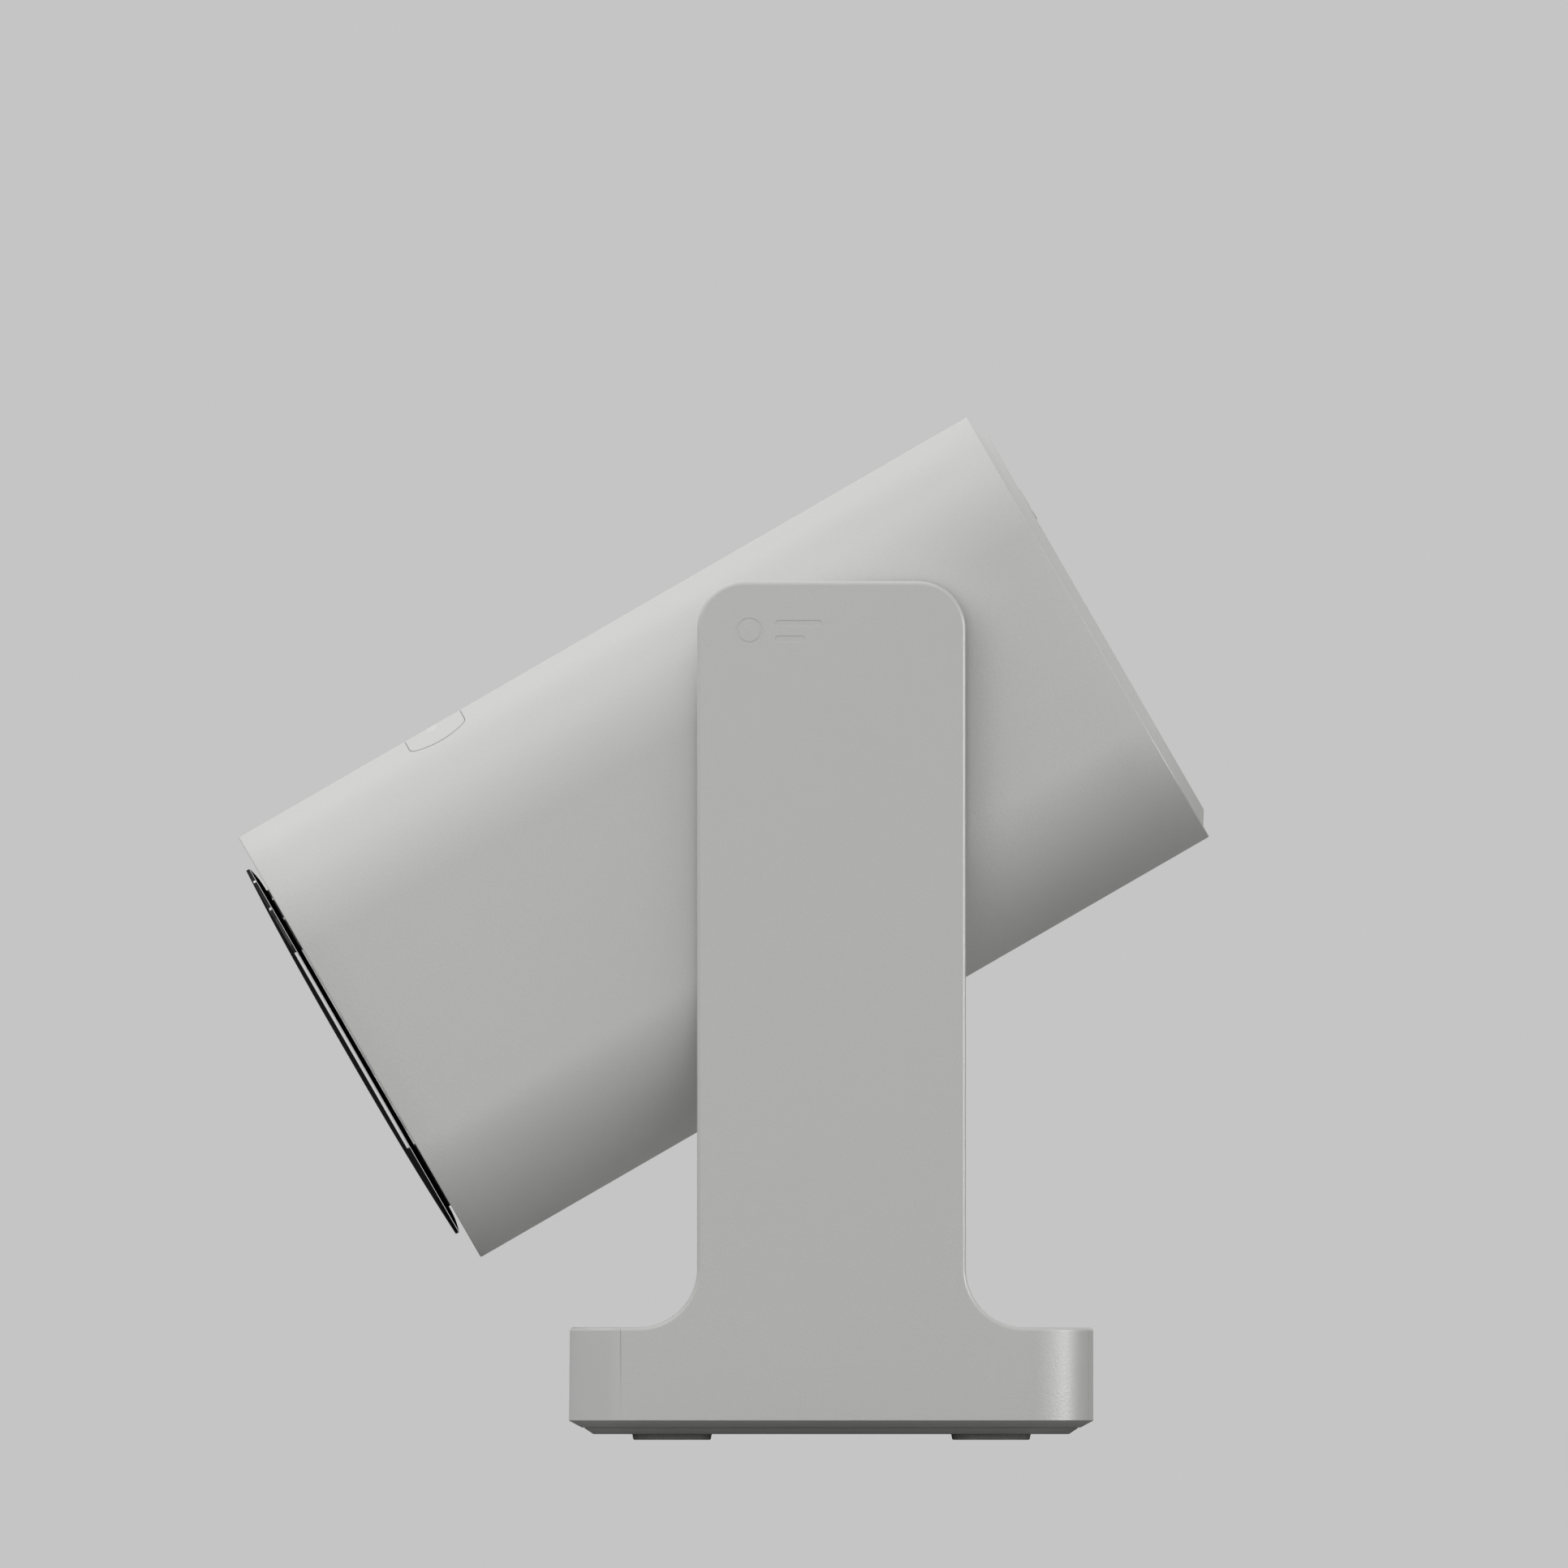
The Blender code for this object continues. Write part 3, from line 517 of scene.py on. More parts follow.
LOOKS = {
    "shell": moulded_plastic(
        "shell_plastic", SHELL_COLOUR, 0.48, 0.0009, 0.00006, 0.5, lines=True
    ),
    # The stand's rounded edges are darkened by up to 6% as painted shade.
    "stand": moulded_plastic(
        "stand_plastic", STAND_COLOUR, 0.45, 0.00078, 0.00007, 0.45, painted_edge_shade=-0.06
    ),
    "fascia": moulded_plastic("fascia_plastic", (0.645, 0.652, 0.640), 0.4, 0.0006, 0.00003, 0.2),
    "plate": moulded_plastic("plate_plastic", (0.54, 0.54, 0.527), 0.5, 0.0009, 0.00007, 0.35),
    "black": gloss_black("black_plastic", 0.09),
    "inner_black": moulded_plastic(
        "inner_black_plastic", (0.02, 0.02, 0.021), 0.55, 0.0008, 0.00005, 0.3
    ),
    "glass": cover_glass("cover_glass"),
    "window": light_window("light_window"),
    "rubber": rubber("foot_rubber"),
    "steel": metal("steel", (0.52, 0.52, 0.53), 0.3, (1.0, 0.15, 0.15)),
    "brass": metal("bush_brass", (0.72, 0.53, 0.27), 0.3),
    "aluminium": metal("aluminium", (0.68, 0.69, 0.70), 0.38, (0.1, 1.0, 1.0)),
    "copper": metal("antenna_copper", (0.72, 0.36, 0.2), 0.3),
    "board": circuit_board("circuit_board"),
    "dark": moulded_plastic("dark_plastic", (0.03, 0.03, 0.032), 0.5, 0.0009, 0.00005, 0.3),
}

INNER_LOOKS = {
    "steel": "steel",
    "bush_brass": "brass",
    "aluminium": "aluminium",
    "circuit_board": "board",
    "antenna_copper": "copper",
    "dark_plastic": "dark",
    "display_panel": "inner_black",
    "black_plastic": "inner_black",
    "shell": "shell",
    "stand": "stand",
    "fascia": "fascia",
    "plate": "plate",
    "cover_glass": "glass",
    "light_window": "window",
    "foot_rubber": "rubber",
}


def dress_cad_nodes():
    """Every CAD node gets the material of its slot, whether or not a finer piece replaces it."""
    for row in frame["record"]["subparts"]:
        obj = frame["nodes"][row["node"]]
        look = LOOKS[INNER_LOOKS[row["material_slot"]]]
        obj.data.materials.clear()
        obj.data.materials.append(look)


# ---------------------------------------------------------------- head pieces


PAD_LOW, PAD_HIGH = size_in_head("control_pad")
PAD_BULGE = 3.2
PAD_TIP = 3.5
PAD_SIDE_GAP = 0.25
WINDOW_LOW, WINDOW_HIGH = size_in_head("pad_light_window")


def pad_outline():
    """Straight at the middle of the tube, bulging and rounded on the side that wraps over its corner."""
    low, high = PAD_LOW[1], PAD_HIGH[1]
    left, right = PAD_LOW[0], PAD_HIGH[0]
    half = (high - low) / 2
    middle = (high + low) / 2
    radius = (half * half + PAD_BULGE * PAD_BULGE) / (2 * PAD_BULGE)
    swing = math.asin((half - PAD_TIP) / (radius - PAD_TIP))
    tip_x = right - radius + (radius - PAD_TIP) * math.cos(swing)
    swing = math.degrees(swing)
    points = arc((tip_x, low + PAD_TIP), PAD_TIP, -90, -swing, 14)
    points += arc((right - radius, middle), radius, -swing, swing, 30)[1:-1]
    points += arc((tip_x, high - PAD_TIP), PAD_TIP, swing, 90, 14)
    points += edge_points((tip_x, high), (left + 4, high), 24)
    points += arc((left + 4, high - 4), 4, 90, 180, 12)
    points += arc((left + 4, low + 4), 4, 180, 270, 12)
    points += edge_points((left + 4, low), (tip_x, low), 24)
    return points


def edge_points(start, end, count):
    """Points strictly between two ends."""
    made = []
    for i in range(1, count):
        t = i / count
        made.append((start[0] + (end[0] - start[0]) * t, start[1] + (end[1] - start[1]) * t))
    return made


def window_outline():
    """Rounded rectangle with points close enough to follow the pad's curve."""
    x0, y0 = WINDOW_LOW[:2]
    x1, y1 = WINDOW_HIGH[:2]
    r = 0.9
    points = arc((x1 - r, y0 + r), r, -90, 0, 8) + edge_points((x1, y0 + r), (x1, y1 - r), 8)
    points += arc((x1 - r, y1 - r), r, 0, 90, 8) + edge_points((x1 - r, y1), (x0 + r, y1), 16)
    points += arc((x0 + r, y1 - r), r, 90, 180, 8) + edge_points((x0, y1 - r), (x0, y0 + r), 8)
    points += arc((x0 + r, y0 + r), r, 180, 270, 8) + edge_points((x0 + r, y0), (x1 - r, y0), 16)
    return points


def inset_outline(outline, distance):
    """A convex outline moved inwards by a distance."""
    count = len(outline)
    made = []
    for i in range(count):
        ax, ay = outline[i - 1]
        bx, by = outline[(i + 1) % count]
        length = math.hypot(bx - ax, by - ay) or 1.0
        px, py = outline[i]
        made.append((px - (by - ay) / length * distance, py + (bx - ax) / length * distance))
    return made


def scaled(point, centre, part):
    return (
        centre[0] + (point[0] - centre[0]) * part,
        centre[1] + (point[1] - centre[1]) * part,
    )


def below_surface(point, depth):
    """A plan point on the tube's upper right surface, moved inwards along the surface's normal."""
    x, y = point
    sine = min(max((x - CORNER_X) / TUBE_CORNER, 0.0), 0.999)
    reach = TUBE_CORNER - depth
    if sine <= 0:
        return (x, y, HALF_H - depth)
    return (CORNER_X + reach * sine, y, CORNER_Z + reach * math.sqrt(1 - sine * sine))


CLOSING = (0.97, 0.9, 0.8, 0.68, 0.56, 0.44, 0.32, 0.2, 0.1, 0.03)


def draped(name, outline, stations, sharp_deg=40.0):
    """A plate that follows the tube's surface; stations are (inset, depth) from its lower rim up."""
    count = len(outline)
    centre = (sum(p[0] for p in outline) / count, sum(p[1] for p in outline) / count)
    first = inset_outline(outline, stations[0][0])
    last = inset_outline(outline, stations[-1][0])
    plans = [([scaled(p, centre, part) for p in first], stations[0][1]) for part in CLOSING[::-1]]
    plans += [(inset_outline(outline, inset), depth) for inset, depth in stations]
    plans += [([scaled(p, centre, part) for p in last], stations[-1][1]) for part in CLOSING]
    rings = [[below_surface(p, depth) for p in plan] for plan, depth in plans]
    return loft(name, rings, sharp_deg=sharp_deg)


TUBE_EDGE_ROUND = 0.5


def make_tube():
    """Tube skin with close rings beside the control pad, where its recess is cut."""
    e = TUBE_EDGE_ROUND
    stations = [(e, FRONT), (e * 0.62, FRONT + e * 0.08), (e * 0.3, FRONT + e * 0.3)]
    stations += [(e * 0.08, FRONT + e * 0.62), (0, FRONT + e)]
    pad_start, pad_end = PAD_LOW[1] - 3.0, PAD_HIGH[1] + 3.0
    near = [pad_start + (pad_end - pad_start) * part / 32 for part in range(33)]
    ys = [FRONT + (REAR - FRONT) * part / 24 for part in range(1, 24)]
    far = [y for y in ys if y < pad_start - 1.0 or y > pad_end + 1.0]
    stations += [(0, y) for y in sorted(near + far)]
    stations += [(0, REAR - e), (e * 0.08, REAR - e * 0.62), (e * 0.3, REAR - e * 0.3)]
    stations += [(e * 0.62, REAR - e * 0.08), (e, REAR)]
    stations += [(TUBE_WALL - 0.3, REAR), (TUBE_WALL, REAR - 0.3)]
    stations += [(TUBE_WALL, FRONT + 0.3), (TUBE_WALL - 0.3, FRONT)]
    rings = [across_y(tube_section(inset), y) for inset, y in stations]
    tube = loft("tube_skin", rings, looped=True)
    rim = [(-0.11, 1.15), (-0.11, 0.3), (-0.17, 0.14), (-0.3, 0.04), (-0.5, -0.03), (-0.56, -1.5)]
    left, right = PAD_LOW[0], PAD_HIGH[0]
    outline = [(x + PAD_SIDE_GAP * (x - left) / (right - left), y) for x, y in pad_outline()]
    recess = draped("pad_recess", outline, rim)
    hole = [(-HALF_W - 5, AXLE_HOLE_RADIUS), (HALF_W + 5, AXLE_HOLE_RADIUS)]
    axle = turned("axle_hole", hole, (0, 0), "X")
    to_head(tube, recess, axle)
    cut(tube, recess, axle)
    place(tube, "head", LOOKS["shell"], "shell", "tube_shell", even=False)


def make_pad():
    rim = [(0.0, 0.5), (0.0, 0.28), (0.03, 0.15), (0.1, 0.06), (0.2, 0.015), (0.32, 0.0)]
    pad = draped("control_pad_key", pad_outline(), rim)
    rim = [(0.0, 0.3), (0.0, 0.02), (0.03, -0.02), (0.1, -0.035), (0.2, -0.04)]
    window = draped("pad_window_lens", window_outline(), rim)
    to_head(pad, window)
    place(pad, "control_pad", LOOKS["shell"], "shell", "control_pad", even=False)
    place(window, "control_pad", LOOKS["window"], "light_window", "pad_light_window", even=False)


GLASS_INSET = 10.8
GLASS_BACK = 2.15
GLASS_EDGE = 3.3
GLASS_CROWN = 1.4
GLASS_ROUND = 0.22
NECK_INSET = 20.0
NECK_WALL = 2.5


def make_display():
    """Cover glass with a crowned face, and the black dish and neck behind it."""
    flat = GLASS_EDGE - GLASS_ROUND
    profile = [(GLASS_INSET + 0.14, -GLASS_BACK), (GLASS_INSET, -GLASS_BACK - 0.08)]
    profile.append((GLASS_INSET, -flat))
    for angle in quarter(6)[1:]:
        inset = GLASS_INSET + GLASS_ROUND * (1 - math.cos(angle))
        profile.append((inset, -flat - GLASS_ROUND * math.sin(angle)))
    reach = HALF_H - 2.0
    start = GLASS_INSET + GLASS_ROUND
    for i in range(1, 33):
        t = (i / 32) ** 1.5
        profile.append((start + (reach - start) * t, -GLASS_EDGE - GLASS_CROWN * (1 - (1 - t) ** 2.5)))
    rings = [across_y(tube_section(inset), FRONT + y) for inset, y in profile]
    glass = loft("cover_glass_plate", rings)

    profile = [(11.02, -2.0), (11.0, -1.94), (11.1, -1.9), (12.15, -1.6), (13.8, -1.22)]
    profile += [(15.4, -0.95), (17.2, -0.78), (18.9, -0.7), (NECK_INSET - 0.2, -0.7)]
    profile += [(NECK_INSET, -0.5), (NECK_INSET, 8.0), (NECK_INSET + NECK_WALL, 8.0)]
    profile += [(NECK_INSET + NECK_WALL, -2.0)]
    rings = [across_y(tube_section(inset), FRONT + y) for inset, y in profile]
    bezel = loft("display_dish", rings, looped=True)

    wide = TUBE_WALL + 0.3
    tight = NECK_INSET - 0.3
    profile = [(wide, 0.7), (wide, 3.0), (tight, 3.0), (tight, 0.6), (tight - 0.1, 0.5)]
    profile += [(wide + 0.2, 0.5)]
    rings = [across_y(tube_section(inset), FRONT + y) for inset, y in profile]
    plate = loft("front_closing_plate", rings, looped=True)
    to_head(glass, bezel, plate)
    place(glass, "head", LOOKS["glass"], "cover_glass", "touch_glass")
    place(bezel, "head", LOOKS["black"], "black_plastic", "display_bezel")
    place(plate, "head", LOOKS["inner_black"], "black_plastic", "front_end_plate")


BUTTON_X = 70.0
BUTTON_Z = 45.2
BUTTON_RADIUS = 5.65


def make_rear():
    plug = TUBE_WALL + 0.3
    profile = [(9.6, 0.5), (plug + 2.5, -0.6), (plug + 2.5, -8.0), (plug, -8.0), (plug, -0.5)]
    profile += [(plug + 0.15, -0.35), (4.0, -0.2), (4.05, 0.05), (4.25, 0.2)]
    profile += [(8.35, 2.72), (8.6, 2.86), (8.95, 2.96), (9.4, 3.0)]
    rings = [across_y(tube_section(inset), REAR + y) for inset, y in profile]
    cap = loft("rear_cap_moulding", rings)
    centre = (BUTTON_X, BUTTON_Z)
    hole = BUTTON_RADIUS + 0.25
    bore = [(REAR - 5, hole), (REAR + 2.7, hole), (REAR + 3.01, hole + 0.3)]
    bore.append((REAR + 9, hole + 0.3))
    cutter = turned("button_bore", bore, centre, "Y")
    face = REAR + 3.35
    r = BUTTON_RADIUS
    profile = [(REAR - 4.5, 2.5), (REAR - 1.3, 2.5), (REAR - 1.3, 7.4), (REAR + 0.15, 7.4)]
    profile += [(REAR + 0.15, r)]
    profile += [(face - 0.35 + 0.35 * math.sin(a), r - 0.35 * (1 - math.cos(a))) for a in quarter()]
    profile += [(face - 0.03, r - 0.9), (face - 0.12, r * 0.6), (face - 0.17, r * 0.3)]
    button = turned("power_button_key", profile, centre, "Y")
    to_head(cap, cutter, button)
    cut(cap, cutter)
    place(cap, "head", LOOKS["shell"], "shell", "rear_cap")
    place(button, "power_button", LOOKS["shell"], "shell", "power_button")


def quarter(steps=5):
    return [math.pi / 2 * i / steps for i in range(steps + 1)]


# ---------------------------------------------------------------- stand pieces


def cover_outline(rear, inset=0.0):
    """Outline of a side cover in Y and Z. The inset pulls in only the edges that are rounded."""
    top = BASE_TOP - inset
    f = ARM_FILLET + inset
    c = ARM_CORNER - inset
    fillet_z = BASE_TOP + ARM_FILLET
    points = [(SEAM_Y, WALL_BOTTOM), (rear, WALL_BOTTOM), (rear, top)]
    points += arc((ARM_REAR + ARM_FILLET, fillet_z), f, 270, 180, 24)
    points += arc((ARM_REAR - ARM_CORNER, ARM_TOP - ARM_CORNER), c, 0, 90, 24)
    points += arc((ARM_FRONT + ARM_CORNER, ARM_TOP - ARM_CORNER), c, 90, 180, 24)
    points += arc((ARM_FRONT - ARM_FILLET, fillet_z), f, 0, -90, 24)
    points.append((SEAM_Y, top))
    return points


def make_side_cover(side, word):
    """T-shaped cover: a flat outer face, a rounded rim and a rear end that turns the corner."""
    corner_y = STAND_REAR - REAR_CORNER
    centre_x = HALF_STAND - REAR_CORNER
    turn = math.degrees(math.acos((ARM_INNER - centre_x) / REAR_CORNER))
    steps = 20
    bm = bmesh.new()

    def vert(x, y, z):
        return bm.verts.new(Vector((side * x, y, z)) * MM)

    rows = []
    for inset, drop in reversed(rounding(EDGE_ROUND, 6)):
        x = HALF_STAND - drop
        rows.append([vert(x, y, z) for y, z in cover_outline(corner_y, inset)])
    back = cover_outline(corner_y)
    rows.append([vert(ARM_INNER, y, z) for y, z in back])
    count = len(back)
    bm.faces.new(rows[0])
    for high, low in zip(rows, rows[1:]):
        for i in range(2, count):
            j = (i + 1) % count
            bm.faces.new((high[i], high[j], low[j], low[i]))

    # The rounded corner: vertical wall, then the rim's quarter round swept along it.
    columns = []
    for k in range(steps + 1):
        angle = math.radians(turn * k / steps)
        column = [(REAR_CORNER, WALL_BOTTOM)]
        for inset, drop in rounding(EDGE_ROUND, 6):
            column.append((REAR_CORNER - inset, BASE_TOP - drop))
        points = []
        for radius, z in column:
            points.append((centre_x + radius * math.cos(angle), corner_y + radius * math.sin(angle), z))
        columns.append([vert(*p) for p in points])
    for a, b in zip(columns, columns[1:]):
        for i in range(len(a) - 1):
            bm.faces.new((a[i], b[i], b[i + 1], a[i + 1]))
    inner_low = vert(ARM_INNER, corner_y, WALL_BOTTOM)
    inner_top = vert(ARM_INNER, corner_y, BASE_TOP)
    tops = [column[-1] for column in columns]
    end = columns[-1]
    bm.faces.new([inner_top] + tops)
    bm.faces.new([inner_low] + [column[0] for column in columns])
    bm.faces.new([inner_low] + end + [inner_top])
    bm.faces.new(rows[-1])
    front_low = [row[0] for row in rows]
    rear_low = [row[1] for row in rows]
    bm.faces.new(front_low + rear_low[::-1])
    bmesh.ops.remove_doubles(bm, verts=bm.verts, dist=2e-6)
    return finish_mesh("side_cover_moulding_" + word, bm)


MARK_PLACE = (8.2, 269.0)
MARK_RING = (4.7, 3.25)
MARK_BARS = ((16.5, 32.5, 271.6), (16.5, 27.0, 266.4))
MARK_BAR_HALF = 1.35
MARK_DEPTH = 0.22
MARK_SLOPE = 0.3
PANEL_GAP = 0.15


def make_mark_cutters(word, side):
    """A generic sunk mark: a ring and two short bars, with sloping walls."""
    above = side * (HALF_STAND + 0.4)
    below = side * (HALF_STAND - MARK_DEPTH)
    y, z = MARK_PLACE
    wide, slim = MARK_RING
    rings = [
        across_x(moved(circle(wide), y, z), above),
        across_x(moved(circle(wide - MARK_SLOPE), y, z), below),
        across_x(moved(circle(slim + MARK_SLOPE), y, z), below),
        across_x(moved(circle(slim), y, z), above),
    ]
    cutters = [loft("mark_ring_" + word, rings, looped=True)]
    for number, (low, high, z) in enumerate(MARK_BARS):
        rings = []
        for inset, x in ((0.0, above), (MARK_SLOPE, below)):
            half = MARK_BAR_HALF - inset
            bar = rounded_rect(low + inset, high - inset, z - half, z + half, (half * 0.99,) * 4, 10)
            rings.append(across_x(bar, x))
        cutters.append(loft(f"mark_bar_{number}_{word}", rings))
    return cutters


def make_arm(side, word):
    low, high = size_of("arm_inner_cover_" + word)
    c = ARM_CORNER - COVER_WALL - 0.3
    gap = PANEL_GAP
    outline = rounded_rect(
        low.y - gap, high.y + gap, low.z - gap, high.z + gap, (c + gap, c + gap, 0.8, 0.8), 20
    )
    ends = (side * (ARM_INNER - 1.0), side * (ARM_INNER + 2.3))
    pocket = loft("arm_pocket_" + word, [across_x(outline, x) for x in ends])
    cover = make_side_cover(side, word)
    cut(cover, pocket, *make_mark_cutters(word, side))
    place(cover, "stand", LOOKS["stand"], "stand", "side_cover_" + word)

    stations = [(0.0, side * (ARM_INNER + 2.0))]
    stations += [(inset, side * (ARM_INNER + drop)) for inset, drop in rounding(0.5, 4)]
    rings = []
    for inset, x in stations:
        r = c - inset
        outline = rounded_rect(
            low.y + inset, high.y - inset, low.z + inset, high.z - inset, (r, r, 0.6, 0.6), 20
        )
        rings.append(across_x(outline, x))
    panel = loft("arm_inner_panel_" + word, rings)
    radius = AXLE_HOLE_RADIUS + 0.1
    hole = [(side * (ARM_INNER - 2), radius), (side * (ARM_INNER + 4), radius)]
    bore = turned("arm_panel_bore_" + word, hole, (PIVOT.y, PIVOT.z), "X")
    cut(panel, bore)
    place(panel, "stand", LOOKS["stand"], "stand", "arm_inner_cover_" + word)


SEAM_STEP = 0.35
SEAM_LAP = 1.6
SEAM_GAP = 0.13
FASCIA_DRAFT = 0.3


def fascia_section(inset, back, lap):
    """Wall outline with a lap that runs in behind the side covers' front edges."""
    r = FRONT_CORNER - inset
    x = HALF_STAND - FRONT_CORNER
    y = STAND_FRONT + FRONT_CORNER
    outer = HALF_STAND - inset
    step = outer - SEAM_STEP
    points = [(outer, back), (step, back), (step, back + lap)]
    points += [(-step, back + lap), (-step, back), (-outer, back)]
    points += arc((-x, y), r, 180, 270, 24)
    points += arc((x, y), r, 270, 360, 24)
    return points


def make_fascia():
    """The seam behind it is open at the top and closes towards the bottom."""
    wall_top = BASE_TOP - EDGE_ROUND
    rings = []
    for part in range(0, 9):
        share = part / 8
        z = WALL_BOTTOM + (wall_top - WALL_BOTTOM) * share
        back = SEAM_Y - 0.01 - SEAM_GAP * max(share - 0.3, 0.0) / 0.7
        rings.append(across_z(fascia_section(FASCIA_DRAFT * share, back, SEAM_LAP), z))
    for inset, drop in rounding(EDGE_ROUND, 6)[1:]:
        rings.append(across_z(fascia_section(FASCIA_DRAFT + inset, back, 0.02), BASE_TOP - drop))
    fascia = loft("front_fascia_moulding", rings)
    place(fascia, "stand", LOOKS["fascia"], "fascia", "front_fascia")


def make_base_top():
    low, high = size_of("base_top_cover")
    rings = []
    stations = [(0.0, low.z)] + [(inset, high.z - drop) for inset, drop in rounding(0.4, 4)]
    for inset, z in stations:
        outline = rounded_rect(
            low.x + inset, high.x - inset, low.y + inset, high.y - inset, (0.6,) * 4, 4
        )
        rings.append(across_z(outline, z))
    cover = loft("base_top_panel", rings)
    place(cover, "stand", LOOKS["stand"], "stand", "base_top_cover")


def make_rear_panel():
    x_end = PANEL_HIGH.x
    corner = (HALF_STAND - REAR_CORNER, STAND_REAR - REAR_CORNER)
    inner = PANEL_LOW.y

    def outline(inset):
        r = REAR_CORNER - inset
        start = math.degrees(math.acos((x_end - corner[0]) / r))
        sweep = arc(corner, r, start, 90, 12)
        mirrored = [(-a, b) for a, b in reversed(sweep)]
        return [(x_end, inner)] + sweep + mirrored + [(-x_end, inner)]

    stations = [(0.0, WALL_BOTTOM)]
    stations += [(inset, BASE_TOP - drop) for inset, drop in rounding(EDGE_ROUND, 6)]
    panel = loft("rear_panel_moulding", [across_z(outline(i), z) for i, z in stations])
    slot_low, slot_high = size_of("usb_socket")
    middle = (slot_low.z + slot_high.z) / 2
    wide = rounded_rect(-4.9, 4.9, middle - 2.0, middle + 2.0, (1.99,) * 4, 12)
    wider = rounded_rect(-5.6, 5.6, middle - 2.7, middle + 2.7, (2.69,) * 4, 12)
    rings = [across_y(wide, inner - 5), across_y(wide, STAND_REAR - 0.7)]
    rings += [across_y(wider, STAND_REAR + 0.01), across_y(wider, STAND_REAR + 5)]
    cut(panel, loft("socket_mouth", rings))
    place(panel, "stand", LOOKS["stand"], "stand", "rear_panel")


def make_underside():
    low = size_of("base_tray")[0].z
    rings = [across_z(base_section(0.2), WALL_BOTTOM), across_z(base_section(0.0), WALL_BOTTOM - 0.12)]
    rings += [across_z(base_section(4.05), low + 0.1), across_z(base_section(4.3), low)]
    plate_top = low
    tray = loft("base_tray_moulding", rings)
    place(tray, "stand", LOOKS["plate"], "stand", "base_tray")

    low = size_of("bottom_plate")[0].z
    rings = [across_z(base_section(5.3), plate_top), across_z(base_section(5.1), plate_top - 0.2)]
    rings += [across_z(base_section(7.95), low + 0.1), across_z(base_section(8.2), low)]
    plate = loft("bottom_plate_moulding", rings)
    for number in range(1, 5):
        make_screw(number, plate)
    place(plate, "stand", LOOKS["plate"], "plate", "bottom_plate")
    for where in ("front", "rear"):
        for word in ("right", "left"):
            make_foot(f"{where}_{word}")


def make_screw(number, plate):
    low, high = size_of(f"bottom_screw_{number}")
    x = (low.x + high.x) / 2
    y = (low.y + high.y) / 2
    bore = [(0.5, 3.3), (1.91, 3.3), (2.15, 3.05), (3.0, 3.05), (3.0, 1.9), (5.0, 1.9)]
    cut(plate, turned(f"screw_bore_{number}", bore, (x, y), "Z", steps=40))
    key = [(1.3 * math.cos(a), 1.3 * math.sin(a)) for a in (i * math.pi / 3 for i in range(6))]
    recess = []
    for i in range(6):
        recess.append(key[i])
        recess += edge_points(key[i], key[(i + 1) % 6], 6)
    rings = [across_z(moved(recess, x, y), 2.75), across_z(moved(recess, x, y), 2.15)]
    steps = len(recess)
    for z, r in ((2.1, 1.7), (2.1, 2.4), (2.16, 2.62), (2.3, 2.75), (2.85, 2.75), (2.85, 1.5)):
        rings.append(across_z(moved(circle(r, steps), x, y), z))
    rings.append(across_z(moved(circle(1.5, steps), x, y), high.z))
    screw = loft(f"bottom_screw_head_{number}", rings)
    place(screw, "stand", LOOKS["steel"], "steel", f"bottom_screw_{number}")


def make_foot(word):
    low, high = size_of("foot_" + word)
    x = (low.x + high.x) / 2
    y = (low.y + high.y) / 2
    half_x = (high.x - low.x) / 2
    half_y = (high.y - low.y) / 2
    rings = []
    top = size_of("bottom_plate")[0].z
    for z, inset in ((top, 0.0), (0.42, 0.3), (0.3, 0.34), (0.08, 0.52), (0.0, 0.68)):
        outline = rounded_rect(
            x - half_x + inset, x + half_x - inset, y - half_y + inset, y + half_y - inset,
            (6 - inset,) * 4, 16,
        )
        rings.append(across_z(outline, z))
    rings.append(across_z(rounded_rect(x - 6, x + 6, y - 9, y + 9, (3.0,) * 4, 16), 0.0))
    rings.append(across_z(rounded_rect(x - 5.6, x + 5.6, y - 8.6, y + 8.6, (2.6,) * 4, 16), 0.25))
    foot = loft("foot_pad_" + word, rings)
    place(foot, "stand", LOOKS["rubber"], "foot_rubber", "foot_" + word)


# ---------------------------------------------------------------- stage


FLOOR_REACH_M = 30.0
FLOOR_TONE = 0.28
AIR_LEVEL = 0.558
AIR_ABOVE = 0.92
REAR_SHARE = 0.70


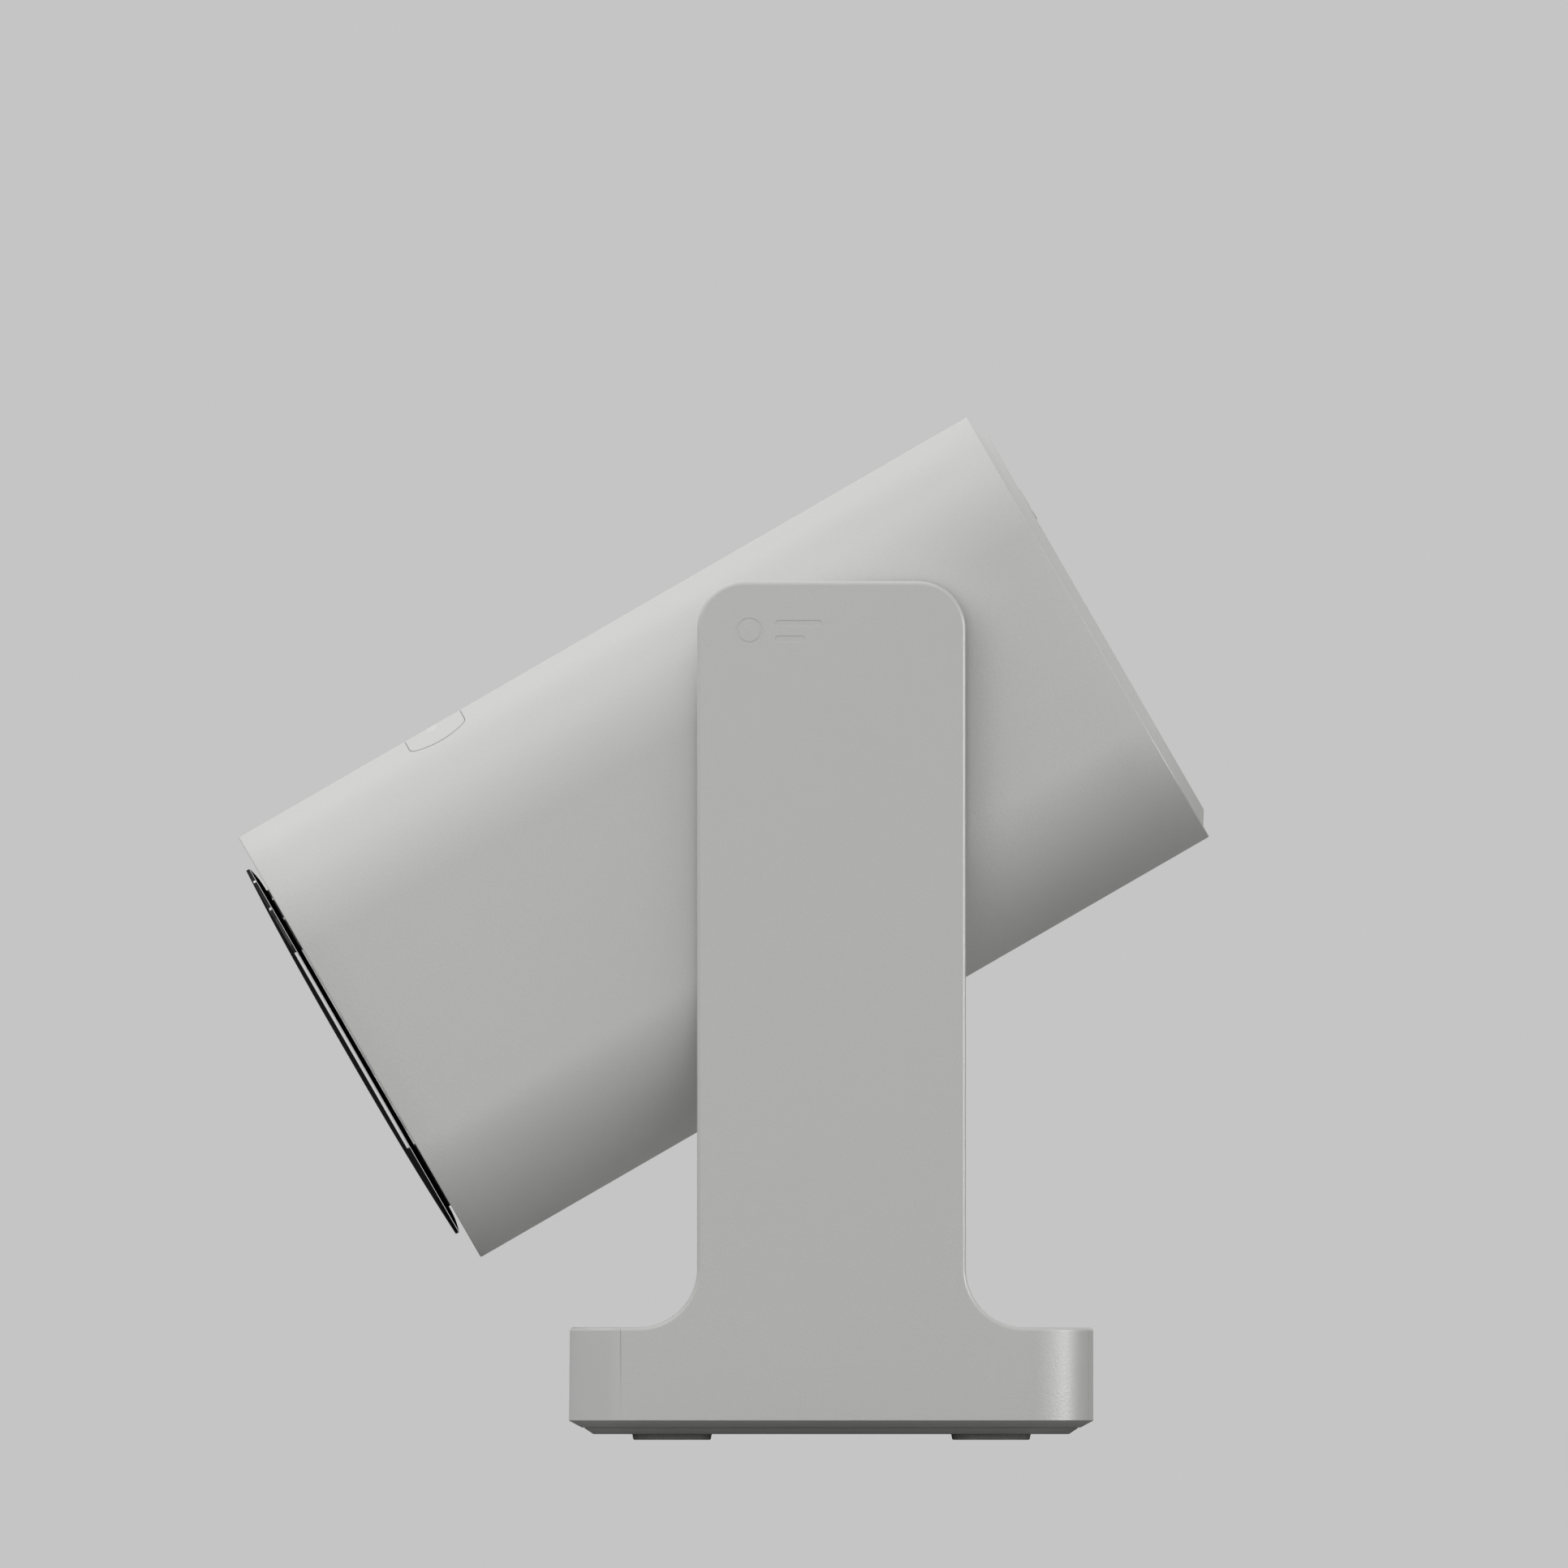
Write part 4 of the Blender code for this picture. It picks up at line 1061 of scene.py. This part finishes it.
def make_stage():
    """Pale floor, and studio air that is even at eye level and lighter above."""
    bm = bmesh.new()
    reach = FLOOR_REACH_M
    corners = [(-reach, -reach), (reach, -reach), (reach, reach), (-reach, reach)]
    bm.faces.new([bm.verts.new((x, y, 0.0)) for x, y in corners])
    mesh = bpy.data.meshes.new("floor")
    bm.to_mesh(mesh)
    bm.free()
    floor = bpy.data.objects.new("floor", mesh)
    bpy.context.scene.collection.objects.link(floor)
    look = bpy.data.materials.new("pale_floor")
    look.use_nodes = True
    shader = look.node_tree.nodes["Principled BSDF"]
    shader.inputs["Base Color"].default_value = (FLOOR_TONE, FLOOR_TONE, FLOOR_TONE, 1)
    shader.inputs["Roughness"].default_value = 0.9
    shader.inputs["Specular IOR Level"].default_value = 0.1
    mesh.materials.append(look)

    world = bpy.data.worlds.new("studio_air")
    world.use_nodes = True
    tree = world.node_tree
    direction = tree.nodes.new("ShaderNodeTexCoord").outputs["Generated"]
    split = tree.nodes.new("ShaderNodeSeparateXYZ")
    tree.links.new(direction, split.inputs["Vector"])
    level = remap(tree, split.outputs["Z"], AIR_LEVEL, AIR_ABOVE, 0.06, 0.3)
    rear = remap(tree, split.outputs["Y"], 1.0, REAR_SHARE, 0.0, 0.8)
    both = node(tree, "ShaderNodeMath", operation="MULTIPLY")
    tree.links.new(level, both.inputs[0])
    tree.links.new(rear, both.inputs[1])
    tree.links.new(both.outputs["Value"], tree.nodes["Background"].inputs["Color"])
    bpy.context.scene.world = world
    bpy.context.scene.view_settings.view_transform = "Standard"
    bpy.context.scene.view_settings.look = "None"
    bpy.context.scene.view_settings.exposure = 0.0
    bpy.context.scene.view_settings.gamma = 1.0


def aim(obj, target):
    direction = Vector(target) - obj.location
    obj.rotation_mode = "QUATERNION"
    obj.rotation_quaternion = direction.to_track_quat("-Z", "Y")


def soft_box(name, place_m, target_m, size_m, power, gloss_only=False):
    data = bpy.data.lights.new(name, "AREA")
    data.shape = "RECTANGLE"
    data.size, data.size_y = size_m
    data.energy = power
    obj = bpy.data.objects.new(name, data)
    obj.location = place_m
    aim(obj, target_m)
    obj.visible_camera = False
    obj.visible_diffuse = not gloss_only
    bpy.context.scene.collection.objects.link(obj)


def in_head_plane(angle_deg, distance_m):
    """A point above the side of the head, at an angle from +X towards the head's own top."""
    a = math.radians(angle_deg)
    offset = HEAD_TO_WORLD.to_3x3() @ Vector((math.cos(a), 0.0, math.sin(a)))
    return Vector((0.1, -0.12, 0.15)) + offset * distance_m


def make_lights():
    head = (0.1, -0.12, 0.15)
    soft_box("front_box", (1.15, -0.5, 0.75), (0.0, 0.0, 0.2), (0.5, 1.0), 1.3)
    soft_box("side_box", (0.55, 1.3, 0.15), (0.12, 0.12, 0.06), (0.5, 0.8), 30.0, True)
    soft_box("corner_box", (1.15, 1.0, 0.2), (0.12, 0.11, 0.06), (0.5, 0.8), 8.0, True)
    soft_box("edge_box", (4.0, -0.13, 0.13), head, (0.6, 0.6), 22.0, True)
    soft_box("arch_box", in_head_plane(67, 2.5), head, (0.12, 1.35), 10.0, True)
    soft_box("rim_box", in_head_plane(118, 2.0), head, (0.12, 0.2), 2.0, True)


def make_camera():
    data = bpy.data.cameras.new("side_camera")
    data.type = "ORTHO"
    data.ortho_scale = 0.5217
    data.sensor_width = 36.0
    data.clip_start = 0.01
    data.clip_end = 60.0
    camera = bpy.data.objects.new("side_camera", data)
    camera.location = (3.0, 0.0197, 0.2182)
    camera.rotation_euler = (math.radians(90), 0.0, math.radians(90))
    bpy.context.scene.collection.objects.link(camera)
    bpy.context.scene.camera = camera


# ---------------------------------------------------------------- all of it

dress_cad_nodes()
make_camera()
make_stage()
make_lights()
make_tube()
make_pad()
make_display()
make_rear()
make_arm(1, "right")
make_arm(-1, "left")
make_fascia()
make_base_top()
make_rear_panel()
make_underside()

bpy.context.view_layer.update()
